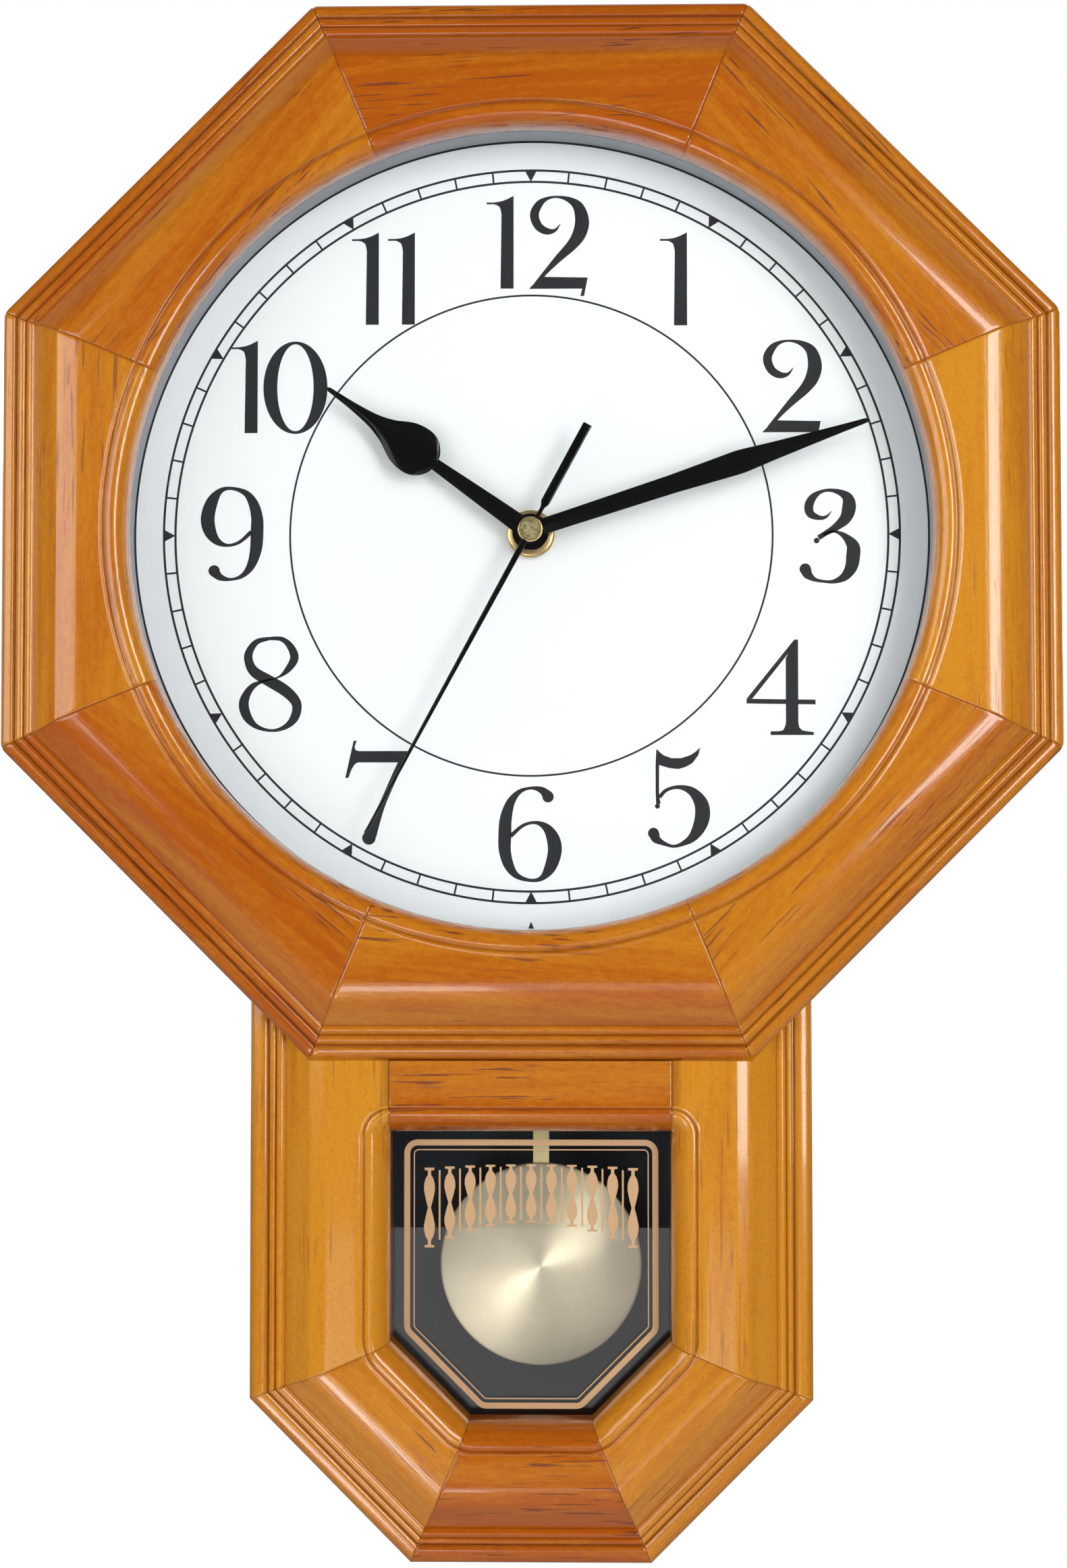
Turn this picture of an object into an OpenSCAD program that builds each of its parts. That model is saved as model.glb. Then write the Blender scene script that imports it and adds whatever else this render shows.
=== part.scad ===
// Schoolhouse wall clock: octagonal bezel over a short drop case with a pendulum.
// Origin at the keyhole on the back face, +Z up, the dial faces -Y.

/* [Case] */
// Distance of the keyhole below the head box's top board
keyhole_down = 18; // [16:0.5:24]
// Distance across the octagon's flats
bezel_w = 324; // [310:1:340]
// Overall height from the octagon's top edge to the drop's foot
total_h = 477; // [465:1:495]
// Depth from the wall to the bezel's highest line
case_depth = 92; // [88:1:110]
// Width of a bezel rail where it is narrowest
bezel_rail_w = 40; // [38:0.5:44]
// Height of the bezel rails' highest line above their backs
bezel_t = 27; // [26:0.5:32]
// Height of the drop frame's highest line above its back
drop_t = 19; // [17:0.5:21]
// Width of the drop frame
drop_w = 172; // [166:1:176]
// Length of the foot's flat edge
foot_w = 73.4; // [68:0.2:80]
// Width of each drop frame rail
rail_w = 43.2; // [42:0.2:45]
// Width of the drop's top rail below the bezel
top_rail_w = 22; // [18:0.5:26]
// Width of the bead round the drop window
bead_w = 7.5; // [6:0.1:8]
// Width of the bead round the dial's opening
ring_bead_w = 6.2; // [5:0.1:7]
// Step from the bezel's edge in to the square head box
head_inset = 49; // [48:0.5:53]
// Thickness of the head box boards
head_board = 10; // [8:0.5:12]
// Thickness of the drop box boards
trunk_board = 8; // [6:0.5:9]
// Step from the drop frame's edge in to the drop box
trunk_inset = 6; // [4:0.5:8]
// Thickness of the dial board
dial_board_t = 5; // [4:0.5:6]
// Step from the bezel's edge in to the dial board
dial_board_inset = 4; // [3:0.5:6]
// Thickness of the back boards
back_t = 5; // [4:0.5:6]
// Width of the opening in the head's back board
access_w = 70; // [66:1:76]
// Height of that opening
access_h = 108; // [104:1:112]
// Height of that opening's centre below the dial's centre
access_z = 17; // [15:1:19]

/* [Dial and glass] */
// Thickness of the dial glass
lens_t = 2; // [1.5:0.1:2.5]
// Depth of the spacer ring between glass and dial
ring_h = 14; // [13.8:0.1:15]
// Width of the spacer ring's wall
ring_w = 4.6; // [4:0.1:6]
// Thickness of the dial plate
dial_t = 1; // [0.6:0.1:1.5]
// Width of the step that holds glass, ring and dial
rebate_w = 5; // [4:0.1:5.2]
// Thickness of the window glass
window_t = 2; // [1.6:0.1:3]
// Overlap of the window glass on the rails
window_lap = 4; // [3:0.1:6]
// Length and width of a glass clip
clip_size = 11; // [10:0.5:13]
// Thickness of a glass clip
clip_t = 0.8; // [0.6:0.1:1.2]

/* [Hanger and screws] */
// Radius of the keyhole's round part
keyhole_r = 4.75; // [4.3:0.05:5.5]
// Width of the keyhole's slot
keyhole_slot = 3.8; // [3:0.1:4]
// Height of the slot's end above the round part's centre
keyhole_rise = 8; // [6.5:0.1:8.5]
// Width of the hanger plate
hanger_w = 27; // [25:0.5:32]
// Height of the hanger plate
hanger_h = 34; // [32:0.5:38]
// Thickness of the hanger plate
hanger_t = 1.5; // [1.5:0.1:2]
// Radius of a screw's shank
screw_r = 1.3; // [1.1:0.05:1.5]
// Radius of a screw's head
screw_head_r = 2.7; // [2.4:0.1:3]
// Length of a screw
screw_l = 4.6; // [4.2:0.1:4.9]
// Height of a screw's countersunk head
screw_head_h = 1.4; // [1.2:0.05:1.5]

/* [Movement] */
// Width of the movement housing
move_w = 56; // [55:0.5:60]
// Height of the housing above the hand shaft
move_up = 28; // [27.5:0.5:30]
// Height of the housing below the hand shaft
move_down = 62; // [61:0.5:64]
// Depth of the housing without its cover
move_d = 24; // [23.6:0.1:26]
// Wall of the housing
move_wall = 1.5; // [1.2:0.1:1.8]
// Thickness of the rear cover
cover_t = 2; // [1.8:0.1:2.4]
// Height of the gear bay below the hand shaft
bay_z = 21; // [20.6:0.1:21.5]
// Height of the battery bay
battery_bay = 21; // [20:0.5:22]
// Radius of the battery
battery_r = 7; // [6.8:0.1:7.2]
// Free length between the battery and the housing's wall at each end
battery_room = 1.5; // [1.2:0.05:2]
// Thickness of the battery contacts
contact_t = 0.8; // [0.5:0.05:1]
// Height of the battery contacts
contact_h = 10; // [8:0.5:12]
// Radius of the threaded bush
bush_r = 4; // [3.8:0.1:4.5]
// Thickness of the washer on the dial
washer_t = 0.8; // [0.5:0.1:1]
// Radius of the round nut
nut_r = 7.4; // [6.8:0.1:8]
// Height of the round nut
nut_h = 2.4; // [2:0.1:2.6]
// Radius of the hour pipe
hour_pipe_r = 2.6; // [2.5:0.05:2.8]
// Radius of the minute pipe
minute_pipe_r = 1.6; // [1.5:0.05:1.7]
// Radius of the thin arbors
arbor_r = 0.6; // [0.5:0.05:0.7]
// Radius of the setting arbor
setting_r = 0.8; // [0.7:0.05:0.9]
// Radius of the setting knob
knob_r = 6; // [5:0.1:7]
// Radial running clearance of arbors and pipes
run_gap = 0.08; // [0.05:0.01:0.1]
// Thickness of the wheels
wheel_t = 1; // [0.8:0.05:1.1]
// Distance from the hand shaft to the going-train arbors
train_cd = 13; // [12.9:0.05:13.3]
// Distance from the hand shaft to the setting arbor
motion_cd = 14; // [13.9:0.05:14.4]
// Distance from the intermediate arbor to the rotor's
rotor_cd = 11.2; // [11:0.1:11.4]
// Radius of the rotor's magnet
rotor_r = 3.2; // [3:0.1:3.4]
// Radius of the motor coil
coil_r = 4; // [3.6:0.1:4.2]
// Length of the motor coil
coil_l = 20; // [16:0.5:22]

/* [Hands] */
// Length of the hour hand
hour_l = 77.4; // [70:0.2:84]
// Greatest width of the hour hand
hour_w = 15.4; // [12:0.2:18]
// Distance from the minute hand's tip to the bezel's opening
minute_clear = 12.4; // [8:0.2:20]
// Greatest width of the minute hand
minute_w = 7.2; // [6:0.2:9]
// Distance from the second hand's tip to the bezel's opening
second_clear = 17; // [10:0.5:26]
// Length of the second hand's tail
tail_l = 37; // [30:0.5:42]
// Thickness of the hour and minute hands
hand_t = 1.2; // [0.8:0.1:1.2]
// Thickness of the second hand
second_t = 0.6; // [0.4:0.1:0.6]
// Free height between one hand and the next
hand_gap = 1.7; // [1.6:0.05:1.9]
// Height of the hour hand above the dial
hour_lift = 6; // [5:0.1:6.2]
// Radius of the hour hand's hub
hour_hub_r = 5.7; // [5:0.1:6.5]
// Radius of the cap on the second hand
cap_r = 3.8; // [3:0.1:4.5]
// Height of the cap on the second hand
cap_h = 1.3; // [1:0.1:1.4]

/* [Pendulum] */
// Distance of the pendulum's pivot right of the hand shaft
swing_x = 2.6; // [2:0.1:3.6]
// Height of the pivot below the hand shaft
swing_z = 15; // [14:0.5:16]
// Radius of the pivot stub
swing_pin_r = 2; // [1.6:0.1:2.4]
// Thickness of the swinging arm
arm_t = 1.5; // [1.2:0.1:1.8]
// Width of the swinging arm
arm_w = 7; // [6.2:0.2:9]
// Distance of the magnet below the pivot
magnet_z = 38; // [37:0.5:39]
// Radius of the magnet
magnet_r = 4; // [3:0.1:5]
// Distance of the strip's tab below the pivot
tab_z = 49; // [48:0.5:52]
// Width of the strip's tab
tab_w = 3; // [2.4:0.1:3.6]
// Height of the strip's tab
tab_h = 1.6; // [1.2:0.1:2]
// Length of strip and arm beyond the tab
tab_margin = 5; // [3:0.5:6]
// Width of the pendulum strip
rod_w = 5.1; // [4.5:0.1:6]
// Thickness of the pendulum strip
rod_t = 1; // [0.8:0.1:1.2]
// Height of the bob's centre above the drop's foot
bob_up = 83.5; // [79:0.5:90]
// Radius of the bob
bob_r = 32.5; // [28:0.5:35]
// Height of the bob's dome
bob_h = 6; // [4:0.5:8]
// Thickness of the bob's sheet
bob_t = 0.9; // [0.7:0.1:1.2]

/* [Hidden] */
$fn = 96;

// Planes, counted from the wall towards the front as positive depths
rail_back = case_depth - bezel_t;
dial_back = rail_back;
dial_front = dial_back + dial_t;
lens_back = dial_front + ring_h;
board_back = rail_back - dial_board_t;
cover_in = board_back - move_d;
cover_out = cover_in - cover_t;
wall_in = board_back - move_wall;

// Case outlines
half_bezel = bezel_w / 2;
opening_r = half_bezel - bezel_rail_w;
head_w = bezel_w - 2 * head_inset;
head_drop = head_w / 2 - head_board - keyhole_down;
window_top = half_bezel + top_rail_w;
rebate_r = opening_r + rebate_w;
seat_gap = 0.2;
seat_r = rebate_r - seat_gap;
half_drop = drop_w / 2;
foot_z = total_h - half_bezel;
battery_l = move_w - 2 * (move_wall + battery_room);
corner_sum = foot_z + foot_w / 2;
through = 400;
bore_gap = 0.1;

// Tooth counts of the train
cannon_n = 12;
motion_n = 36;
motion_pinion_n = 10;
hour_n = 40;
centre_n = 64;
third_pinion_n = 8;
third_n = 60;
second_pinion_n = 8;
second_n = 40;
mid_pinion_n = 8;
mid_n = 48;
rotor_pinion_n = 8;
m_motion = 2 * motion_cd / (cannon_n + motion_n);
m_hour = 2 * motion_cd / (motion_pinion_n + hour_n);
m_centre = 2 * train_cd / (centre_n + third_pinion_n);
m_third = 2 * train_cd / (third_n + second_pinion_n);
m_second = 2 * train_cd / (second_n + mid_pinion_n);
m_mid = 2 * rotor_cd / (mid_n + rotor_pinion_n);

// Arbor places seen from the front: x to the right, y up
setting_at = [0, motion_cd];
third_at = [train_cd, 0];
mid_at = [-train_cd, 0];
rotor_turn = 260;
rotor_at = mid_at + rotor_cd * [cos(rotor_turn), sin(rotor_turn)];

// Depths of the wheels' backs, each level clear of the next
level_gap = 1.2;
hour_lv = wall_in - 1 - wheel_t;
cannon_lv = hour_lv - level_gap - wheel_t;
centre_lv = cannon_lv - level_gap - 0.7;
third_lv = centre_lv - level_gap - wheel_t;
second_lv = third_lv - level_gap - wheel_t;
mid_lv = second_lv - level_gap - wheel_t;
rotor_lv = mid_lv - 4.6;
face_x = 0.2;
end_gap = 0.2;
socket_d = 1;

// Depths of the hands' backs
hour_hand_lv = dial_front + hour_lift;
minute_hand_lv = hour_hand_lv + hand_t + hand_gap;
second_hand_lv = minute_hand_lv + hand_t + 1;
cap_lv = second_hand_lv + second_t;
bush_end = dial_front + washer_t + nut_h + 0.6;

// Hands as the photograph shows them, clockwise from twelve
minute_l = opening_r - minute_clear;
second_l = opening_r - second_clear;
hour_angle = 305.5;
minute_angle = 71.9;
second_angle = 208.5;

// Pendulum depths
swing_gap = 0.4;
arm_lv = cover_out - swing_gap - arm_t;
rod_lv = arm_lv - rod_t;
stub_head_r = swing_pin_r + 1;
slot_gap = 0.15;
rod_top_z = swing_z + tab_z - tab_margin;
bob_z = foot_z - bob_up;

// A plate seen from the front, from depth `lv` forward by `t`
module plate(lv, t) {
  translate([0, -lv, -head_drop]) rotate([90, 0, 0]) linear_extrude(t) children();
}

// A round bar along the depth at place `at`
module bar(at, r, lv, t) {
  plate(lv, t) translate(at) circle(r = r);
}

// Corner points of the drop outline, inset by `e`
function side_corner(e) =
  [half_drop - e, half_drop - e - corner_sum + e * sqrt(2)];
function foot_corner(e) =
  [corner_sum - e * sqrt(2) - foot_z + e, e - foot_z];
function flip(p) = [-p[0], p[1]];

// Outline of the drop inset by `e`, with its top edge at height `top`
function drop_outline(e, top) = [
  [half_drop - e, top], side_corner(e), foot_corner(e),
  flip(foot_corner(e)), flip(side_corner(e)), [e - half_drop, top]
];

// Points over a round bead of radius `r`, from its outer side to its inner side
function bead_over(x, y, r) = [for (a = [0:30:180]) [x + r * cos(a), y - r * sin(a)]];

// Section of a bezel rail: distance from the centre against height
module bezel_section() {
  crest_s = 22;
  edge_h = bezel_t - 12;
  inner_s = half_bezel - opening_r * cos(22.5) + 8;
  translate([half_bezel, 0]) polygon(concat(
    [[0, 0], [0, -edge_h], [-1.2, -edge_h - 2.4], [-3.6, -edge_h - 3.6],
      [-3.6, -edge_h - 2.4], [-4.8, -edge_h - 2.4]],
    bead_over(-6.4, -edge_h - 2.8, 1.5),
    bead_over(-9.3, -edge_h - 4.4, 1.4),
    [[-14, -edge_h - 6.4], [-18, -edge_h - 9.4], [1.5 - crest_s, -edge_h - 11.6],
      [-crest_s, -bezel_t], [-crest_s - 3, 0.2 - bezel_t], [-inner_s, 2 - bezel_t],
      [-inner_s, 0]]
  ));
}

// One bezel rail, turned anticlockwise from the right-hand side
module bezel_rail(turn) {
  reach = half_bezel * 1.1;
  half_mitre = reach * tan(22.5);
  bead_end = opening_r + ring_bead_w;
  translate([0, -rail_back, -head_drop]) rotate([0, -turn, 0]) difference() {
    intersection() {
      linear_extrude(half_bezel * 0.9, center = true) bezel_section();
      translate([0, 1, 0]) rotate([90, 0, 0]) linear_extrude(bezel_t + 2)
        polygon([[0, 0], [reach, -half_mitre], [reach, half_mitre]]);
    }
    rotate([90, 0, 0]) translate([0, 0, -1]) cylinder(r = opening_r, h = bezel_t + 2);
    rotate([90, 0, 0]) translate([0, 0, -1])
      cylinder(r = rebate_r, h = lens_back + lens_t - rail_back + 1);
    rotate([90, 0, 0]) rotate_extrude() polygon([
      [opening_r - 1, bezel_t - 4.6], [opening_r, bezel_t - 4.6],
      [opening_r + 1.4, bezel_t - 2.9], [opening_r + 3.4, bezel_t - 2.2],
      [bead_end - 1.6, bezel_t - 2.3], [bead_end - 0.9, bezel_t - 3.1],
      [bead_end, bezel_t - 3.1], [bead_end, bezel_t + 3], [opening_r - 1, bezel_t + 3]
    ]);
  }
}

// Section of a drop rail whose outer edge lies at distance `d`
module drop_section(d, beaded) {
  step_h = drop_t - 9;
  in_s = bead_w - rail_w;
  flat_h = drop_t - 1.2;
  bead_pts = [
    [in_s + 0.9, -flat_h], [in_s + 0.4, 1.4 - flat_h], [in_s - 0.5, 1.4 - flat_h],
    [in_s - 1.4, 0.4 - flat_h], [in_s - 3.6, 0.3 - flat_h], [1.8 - rail_w, 1.2 - flat_h],
    [-rail_w, 3 - flat_h]
  ];
  plain_pts = [[-rail_w, -flat_h]];
  translate([d, 0]) polygon(concat([
    [0, 0], [0, 2.4 - step_h], [-1.2, -step_h], [-5.3, -step_h], [-5.6, 0.8 - step_h],
    [-6.4, 0.4 - step_h], [-7.2, -step_h - 0.8], [-8.6, -step_h - 0.9],
    [-9.2, -step_h - 0.6], [-10.4, -step_h - 2.2], [-12, -step_h - 2.4],
    [-15.5, -step_h - 5.2], [-18.5, -step_h - 8], [-21, -drop_t], [-24, -drop_t]
  ], beaded ? bead_pts : plain_pts, [[-rail_w, 0]]));
}

// A length of drop rail whose outward side is turned clockwise from the right,
// kept inside the outline `cell`
module drop_rail(d, turn, cell, beaded) {
  translate([0, -rail_back, -head_drop]) intersection() {
    rotate([0, turn, 0]) linear_extrude(2 * through, center = true)
      drop_section(d, beaded);
    rotate([90, 0, 0]) translate([0, 0, -1]) linear_extrude(drop_t + 2) polygon(cell);
  }
}

// The step behind the drop rails that holds the window glass
module window_step(e) {
  plate(rail_back - 1, window_t + 1)
    polygon(drop_outline(rail_w - e, window_lap - window_top));
}

// Places of the glass clips round the window
clip_x = half_drop - rail_w + window_lap + 2.5;
clip_foot = foot_z - rail_w + window_lap + 2.5;
clip_top = window_top - window_lap - 2.5;
clip_mid = (window_top + foot_z - rail_w) / 2 - 12;
clip_spots = [[clip_x, -clip_mid], [-clip_x, -clip_mid], [0, -clip_foot], [0, -clip_top]];

// The screws that hold the glass clips, grown by `g`
module clip_screws(g) {
  for (at = clip_spots) screw(at, rail_back - screw_head_h, g);
}

// One countersunk screw, its head towards the wall at depth `lv`
module screw(at, lv, g) {
  plate_at(at, lv) {
    cylinder(r1 = screw_head_r + g, r2 = screw_r + g, h = screw_head_h);
    cylinder(r = screw_r + g, h = screw_l + g);
  }
}

// Turns what follows to face the front at place `at` and depth `lv`
module plate_at(at, lv) {
  translate([at[0], -lv, at[1] - head_drop]) rotate([90, 0, 0]) children();
}

module bezel(turn) {
  color("peru") bezel_rail(turn);
}

// Right stile, drawn on the right; the left one mirrors it
module stile_shape() {
  top = -half_bezel;
  mid = bead_w / 2 - window_top;
  in_x = half_drop - rail_w;
  color("peru") difference() {
    union() {
      drop_rail(half_drop, 0, [[in_x - 1, top], [half_bezel * tan(22.5), top],
        [half_drop, half_drop - half_bezel * sqrt(2)], [half_drop, mid], [in_x - 1, mid]],
        false);
      drop_rail(half_drop, 0, [[in_x, mid], [half_drop, mid],
        side_corner(0), side_corner(rail_w)], true);
    }
    window_step(window_lap);
    clip_screws(bore_gap);
  }
}

module diagonal_shape() {
  color("peru") difference() {
    drop_rail(corner_sum / sqrt(2), 45, [side_corner(0), foot_corner(0),
      foot_corner(rail_w), side_corner(rail_w)], true);
    window_step(window_lap);
  }
}

module drop_bottom_rail() {
  color("peru") difference() {
    drop_rail(foot_z, 90, [foot_corner(0), flip(foot_corner(0)),
      flip(foot_corner(rail_w)), foot_corner(rail_w)], true);
    window_step(window_lap);
    clip_screws(bore_gap);
  }
}

module drop_top_rail() {
  in_x = half_drop - rail_w;
  color("peru") difference() {
    drop_rail(rail_w - window_top, -90, [[-in_x, -half_bezel], [in_x, -half_bezel],
      [in_x, -window_top - 1], [-in_x, -window_top - 1]], true);
    window_step(window_lap);
    clip_screws(bore_gap);
  }
}

// A drop box board between the outlines inset by `e` and `e + trunk_board`
module trunk_plate(cell) {
  color("sienna") difference() {
    plate(0, rail_back) polygon(cell);
    plate(board_back, rail_back) translate([-through, dial_board_inset - half_bezel])
      square([2 * through, through]);
  }
}

e_out = trunk_inset;
e_in = trunk_inset + trunk_board;

module trunk_side_shape() {
  trunk_plate([[half_drop - e_in, -head_w / 2], [half_drop - e_out, -head_w / 2],
    side_corner(e_out), side_corner(e_in)]);
}

module trunk_diagonal_shape() {
  trunk_plate([side_corner(e_out), foot_corner(e_out), foot_corner(e_in),
    side_corner(e_in)]);
}

module trunk_floor_board() {
  trunk_plate([foot_corner(e_out), flip(foot_corner(e_out)), flip(foot_corner(e_in)),
    foot_corner(e_in)]);
}

head_in = head_w / 2 - head_board;

module head_top_board() {
  color("sienna") plate(0, board_back) translate([-head_w / 2, head_in])
    square([head_w, head_board]);
}

module head_side_shape() {
  color("sienna") plate(0, board_back) translate([head_in, -head_in])
    square([head_board, 2 * head_in]);
}

// Floor of the head box, with the slot that the pendulum swings in
slot_reach = rod_w / 2 + 14;
slot_back = 20;
slot_front = 46;

module head_floor_board() {
  color("sienna") difference() {
    plate(0, board_back) translate([-head_w / 2, -head_w / 2])
      square([head_w, head_board]);
    plate(slot_back, slot_front - slot_back)
      translate([swing_x - slot_reach, -head_w / 2 - 1])
      square([2 * slot_reach, head_board + 2]);
  }
}

module dial_board() {
  color("tan") plate(board_back, dial_board_t) difference() {
    rotate(22.5) circle(r = (half_bezel - dial_board_inset) / cos(22.5), $fn = 8);
    circle(r = bush_r + bore_gap);
  }
}

// Outline of the hanger plate, centred on the dial
module hanger_outline() {
  translate([-hanger_w / 2, head_drop + keyhole_rise + 4 - hanger_h])
    square([hanger_w, hanger_h]);
}

hanger_screw_x = hanger_w / 2 - 5;
hanger_screw_z = head_drop + keyhole_rise + 4 - hanger_h + 7;
hanger_spots = [[hanger_screw_x, hanger_screw_z], [-hanger_screw_x, hanger_screw_z]];

module head_back() {
  color("burlywood") difference() {
    plate(0, back_t) translate([-head_in, -head_in]) square(2 * head_in);
    plate(-1, back_t + 2) translate([-access_w / 2, -access_z - access_h / 2])
      square([access_w, access_h]);
    plate(-1, hanger_t + 1) hanger_outline();
    plate(0, back_t + 1) translate([-keyhole_r - 1.5, head_drop - keyhole_r - 1.5])
      square([2 * keyhole_r + 3, 2 * keyhole_r + keyhole_rise]);
    for (at = hanger_spots) screw(at, 0, bore_gap);
  }
}

module hanger_plate() {
  color("goldenrod") difference() {
    plate(0, hanger_t) hanger_outline();
    translate([0, 1, 0]) rotate([90, 0, 0]) cylinder(r = keyhole_r, h = hanger_t + 2);
    plate(-1, hanger_t + 2) translate([0, head_drop]) {
      translate([-keyhole_slot / 2, 0]) square([keyhole_slot, keyhole_rise]);
      translate([0, keyhole_rise]) circle(r = keyhole_slot / 2);
    }
    for (at = hanger_spots) screw(at, 0, 0.05);
  }
}

module screws() {
  color("gainsboro") {
    for (at = hanger_spots) screw(at, 0, 0);
    clip_screws(0);
  }
}

module trunk_back() {
  color("dimgray") plate(0, back_t) polygon(drop_outline(e_in, -head_w / 2));
}

module dial_glass() {
  color("lightblue", 0.4) bar([0, 0], seat_r, lens_back, lens_t);
}

module spacer_ring() {
  color("gray") plate(dial_front, ring_h) difference() {
    circle(r = seat_r);
    circle(r = seat_r - ring_w);
  }
}

module dial_plate() {
  color("whitesmoke") plate(dial_back, dial_t) difference() {
    circle(r = seat_r);
    circle(r = bush_r + bore_gap);
  }
}

module window_glass() {
  color("lightblue", 0.4) plate(rail_back, window_t)
    polygon(drop_outline(rail_w - window_lap + seat_gap, window_lap - seat_gap - window_top));
}

module glass_clips() {
  color("gainsboro") for (at = clip_spots) difference() {
    plate(rail_back - clip_t, clip_t) translate(at) square(clip_size, center = true);
    screw(at, rail_back - screw_head_h, 0.05);
  }
}

// A toothed wheel outline; `turn` brings one tooth's middle to that angle
module gear(n, m, turn) {
  pitch = 360 / n;
  in_r = m * (n / 2 - 1.05);
  out_r = m * (n / 2 + 0.8);
  polygon([for (i = [0:n - 1], p = [[in_r, -0.28], [out_r, -0.12], [out_r, 0.12],
    [in_r, 0.28]]) p[0] * [cos(turn + pitch * (i + p[1])), sin(turn + pitch * (i + p[1]))]]);
}

// A wheel of the train at `at`, meshing towards the angle `turn`
module wheel(at, n, m, turn, lv, t) {
  plate(lv, t) translate(at) gear(n, m, turn);
}

// The angle that brings a gap of an `n`-toothed follower to face its driver
function facing(n, turn) = turn + 180 + 180 / n;
pinion_lap = 0.2;
arbor_front = wall_in + socket_d - end_gap;
arbor_back = cover_in - socket_d + end_gap;

module arbor(at, r) {
  bar(at, r, arbor_back, arbor_front - arbor_back);
}

post_spots = [[18, -16.5], [-20.5, -16.5]];
stator_lv = rotor_lv + 1;
stator_t = 1.2;
coil_at = [4, -16.5];
coil_lv = stator_lv + stator_t / 2;
drive_at = [swing_x, -swing_z - magnet_z];
drive_r = 7;
drive_lv = cover_in + 2.4;
drive_h = 12;
battery_z = -bay_z - move_wall - battery_bay / 2;
coil_bay_top = -bay_z - 2 * move_wall - battery_bay;

module movement_housing() {
  in_w = move_w - 2 * move_wall;
  color("darkslategray") {
    difference() {
      plate(cover_in, move_d) translate([-move_w / 2, -move_down])
        square([move_w, move_up + move_down]);
      plate(cover_in - 1, move_d + 1 - move_wall) translate([-in_w / 2, 0]) {
        translate([0, -bay_z]) square([in_w, bay_z + move_up - move_wall]);
        translate([0, battery_z - battery_bay / 2]) square([in_w, battery_bay]);
        translate([0, move_wall - move_down])
          square([in_w, coil_bay_top + move_down - move_wall]);
      }
      bar([0, 0], bush_r + bore_gap, wall_in - 1, move_wall + 2);
      for (at = [third_at, mid_at, rotor_at])
        bar(at, arbor_r + run_gap, wall_in - 1, socket_d + 1);
      bar(setting_at, setting_r + run_gap, wall_in - 1, socket_d + 1);
    }
    for (at = post_spots)
      bar(at, 1.5, stator_lv + stator_t, wall_in - stator_lv - stator_t);
    bar(drive_at, 2, drive_lv, wall_in - drive_lv);
    bar(drive_at, 4, drive_lv + drive_h, wall_in - drive_lv - drive_h);
  }
}

module movement_cover() {
  swing_at = [swing_x, -swing_z];
  stub_end = arm_lv - 0.3;
  color("slategray") {
    difference() {
      plate(cover_out, cover_t) translate([-move_w / 2, -bay_z - move_wall])
        square([move_w, move_up + bay_z + move_wall]);
      for (at = [[0, 0], third_at, mid_at, rotor_at])
        bar(at, arbor_r + run_gap, cover_in - socket_d, socket_d + 1);
      bar(setting_at, setting_r + run_gap, cover_out - 1, cover_t + 2);
    }
    bar(swing_at, swing_pin_r, stub_end, cover_out - stub_end);
    bar(swing_at, stub_head_r, stub_end - 0.5, 0.5);
  }
}

module threaded_bush() {
  color("gold") difference() {
    union() {
      bar([0, 0], bush_r, wall_in - 0.6, bush_end - wall_in + 0.6);
      bar([0, 0], bush_r + 1.5, wall_in - 0.6, 0.6);
    }
    bar([0, 0], hour_pipe_r + run_gap, wall_in - 1, bush_end - wall_in + 2);
  }
}

module washer() {
  color("silver") plate(dial_front, washer_t) difference() {
    circle(r = nut_r - 0.5);
    circle(r = bush_r + bore_gap);
  }
}

module round_nut() {
  color("gold") plate(dial_front + washer_t, nut_h) difference() {
    circle(r = nut_r);
    circle(r = bush_r);
  }
}

// A hand's blade from half its outline, pointing at `angle`
module blade(angle, half) {
  rotate(-angle) polygon(concat(half, [for (i = [len(half) - 1:-1:0]) flip(half[i])]));
}

module hour_hand() {
  w = hour_w / 2;
  l = hour_l;
  color("black") plate(hour_hand_lv, hand_t) difference() {
    union() {
      circle(r = hour_hub_r);
      blade(hour_angle, [[2.4, 0], [1.65, 0.48 * l], [0.6 * w, 0.53 * l],
        [0.95 * w, 0.56 * l], [w, 0.585 * l], [0.92 * w, 0.615 * l], [0.66 * w, 0.66 * l],
        [0.4 * w, 0.73 * l], [0.2 * w, 0.85 * l], [0.4, l]]);
    }
    circle(r = hour_pipe_r);
  }
}

module hour_wheel() {
  color("ivory") difference() {
    union() {
      wheel([0, 0], hour_n, m_hour, facing(hour_n, 270), hour_lv, wheel_t);
      bar([0, 0], hour_pipe_r, hour_lv, hour_hand_lv + hand_t + face_x - hour_lv);
    }
    bar([0, 0], minute_pipe_r + run_gap, hour_lv - 1, through);
  }
}

module minute_hand() {
  w = minute_w / 2;
  l = minute_l;
  color("black") plate(minute_hand_lv, hand_t) difference() {
    union() {
      circle(r = 4.2);
      blade(minute_angle, [[2.3, 0], [2.9, 0.42 * l], [w, 0.61 * l], [0.93 * w, 0.66 * l],
        [0.55 * w, 0.82 * l], [0.5, 0.995 * l], [0.2, l]]);
    }
    circle(r = minute_pipe_r);
  }
}

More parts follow.
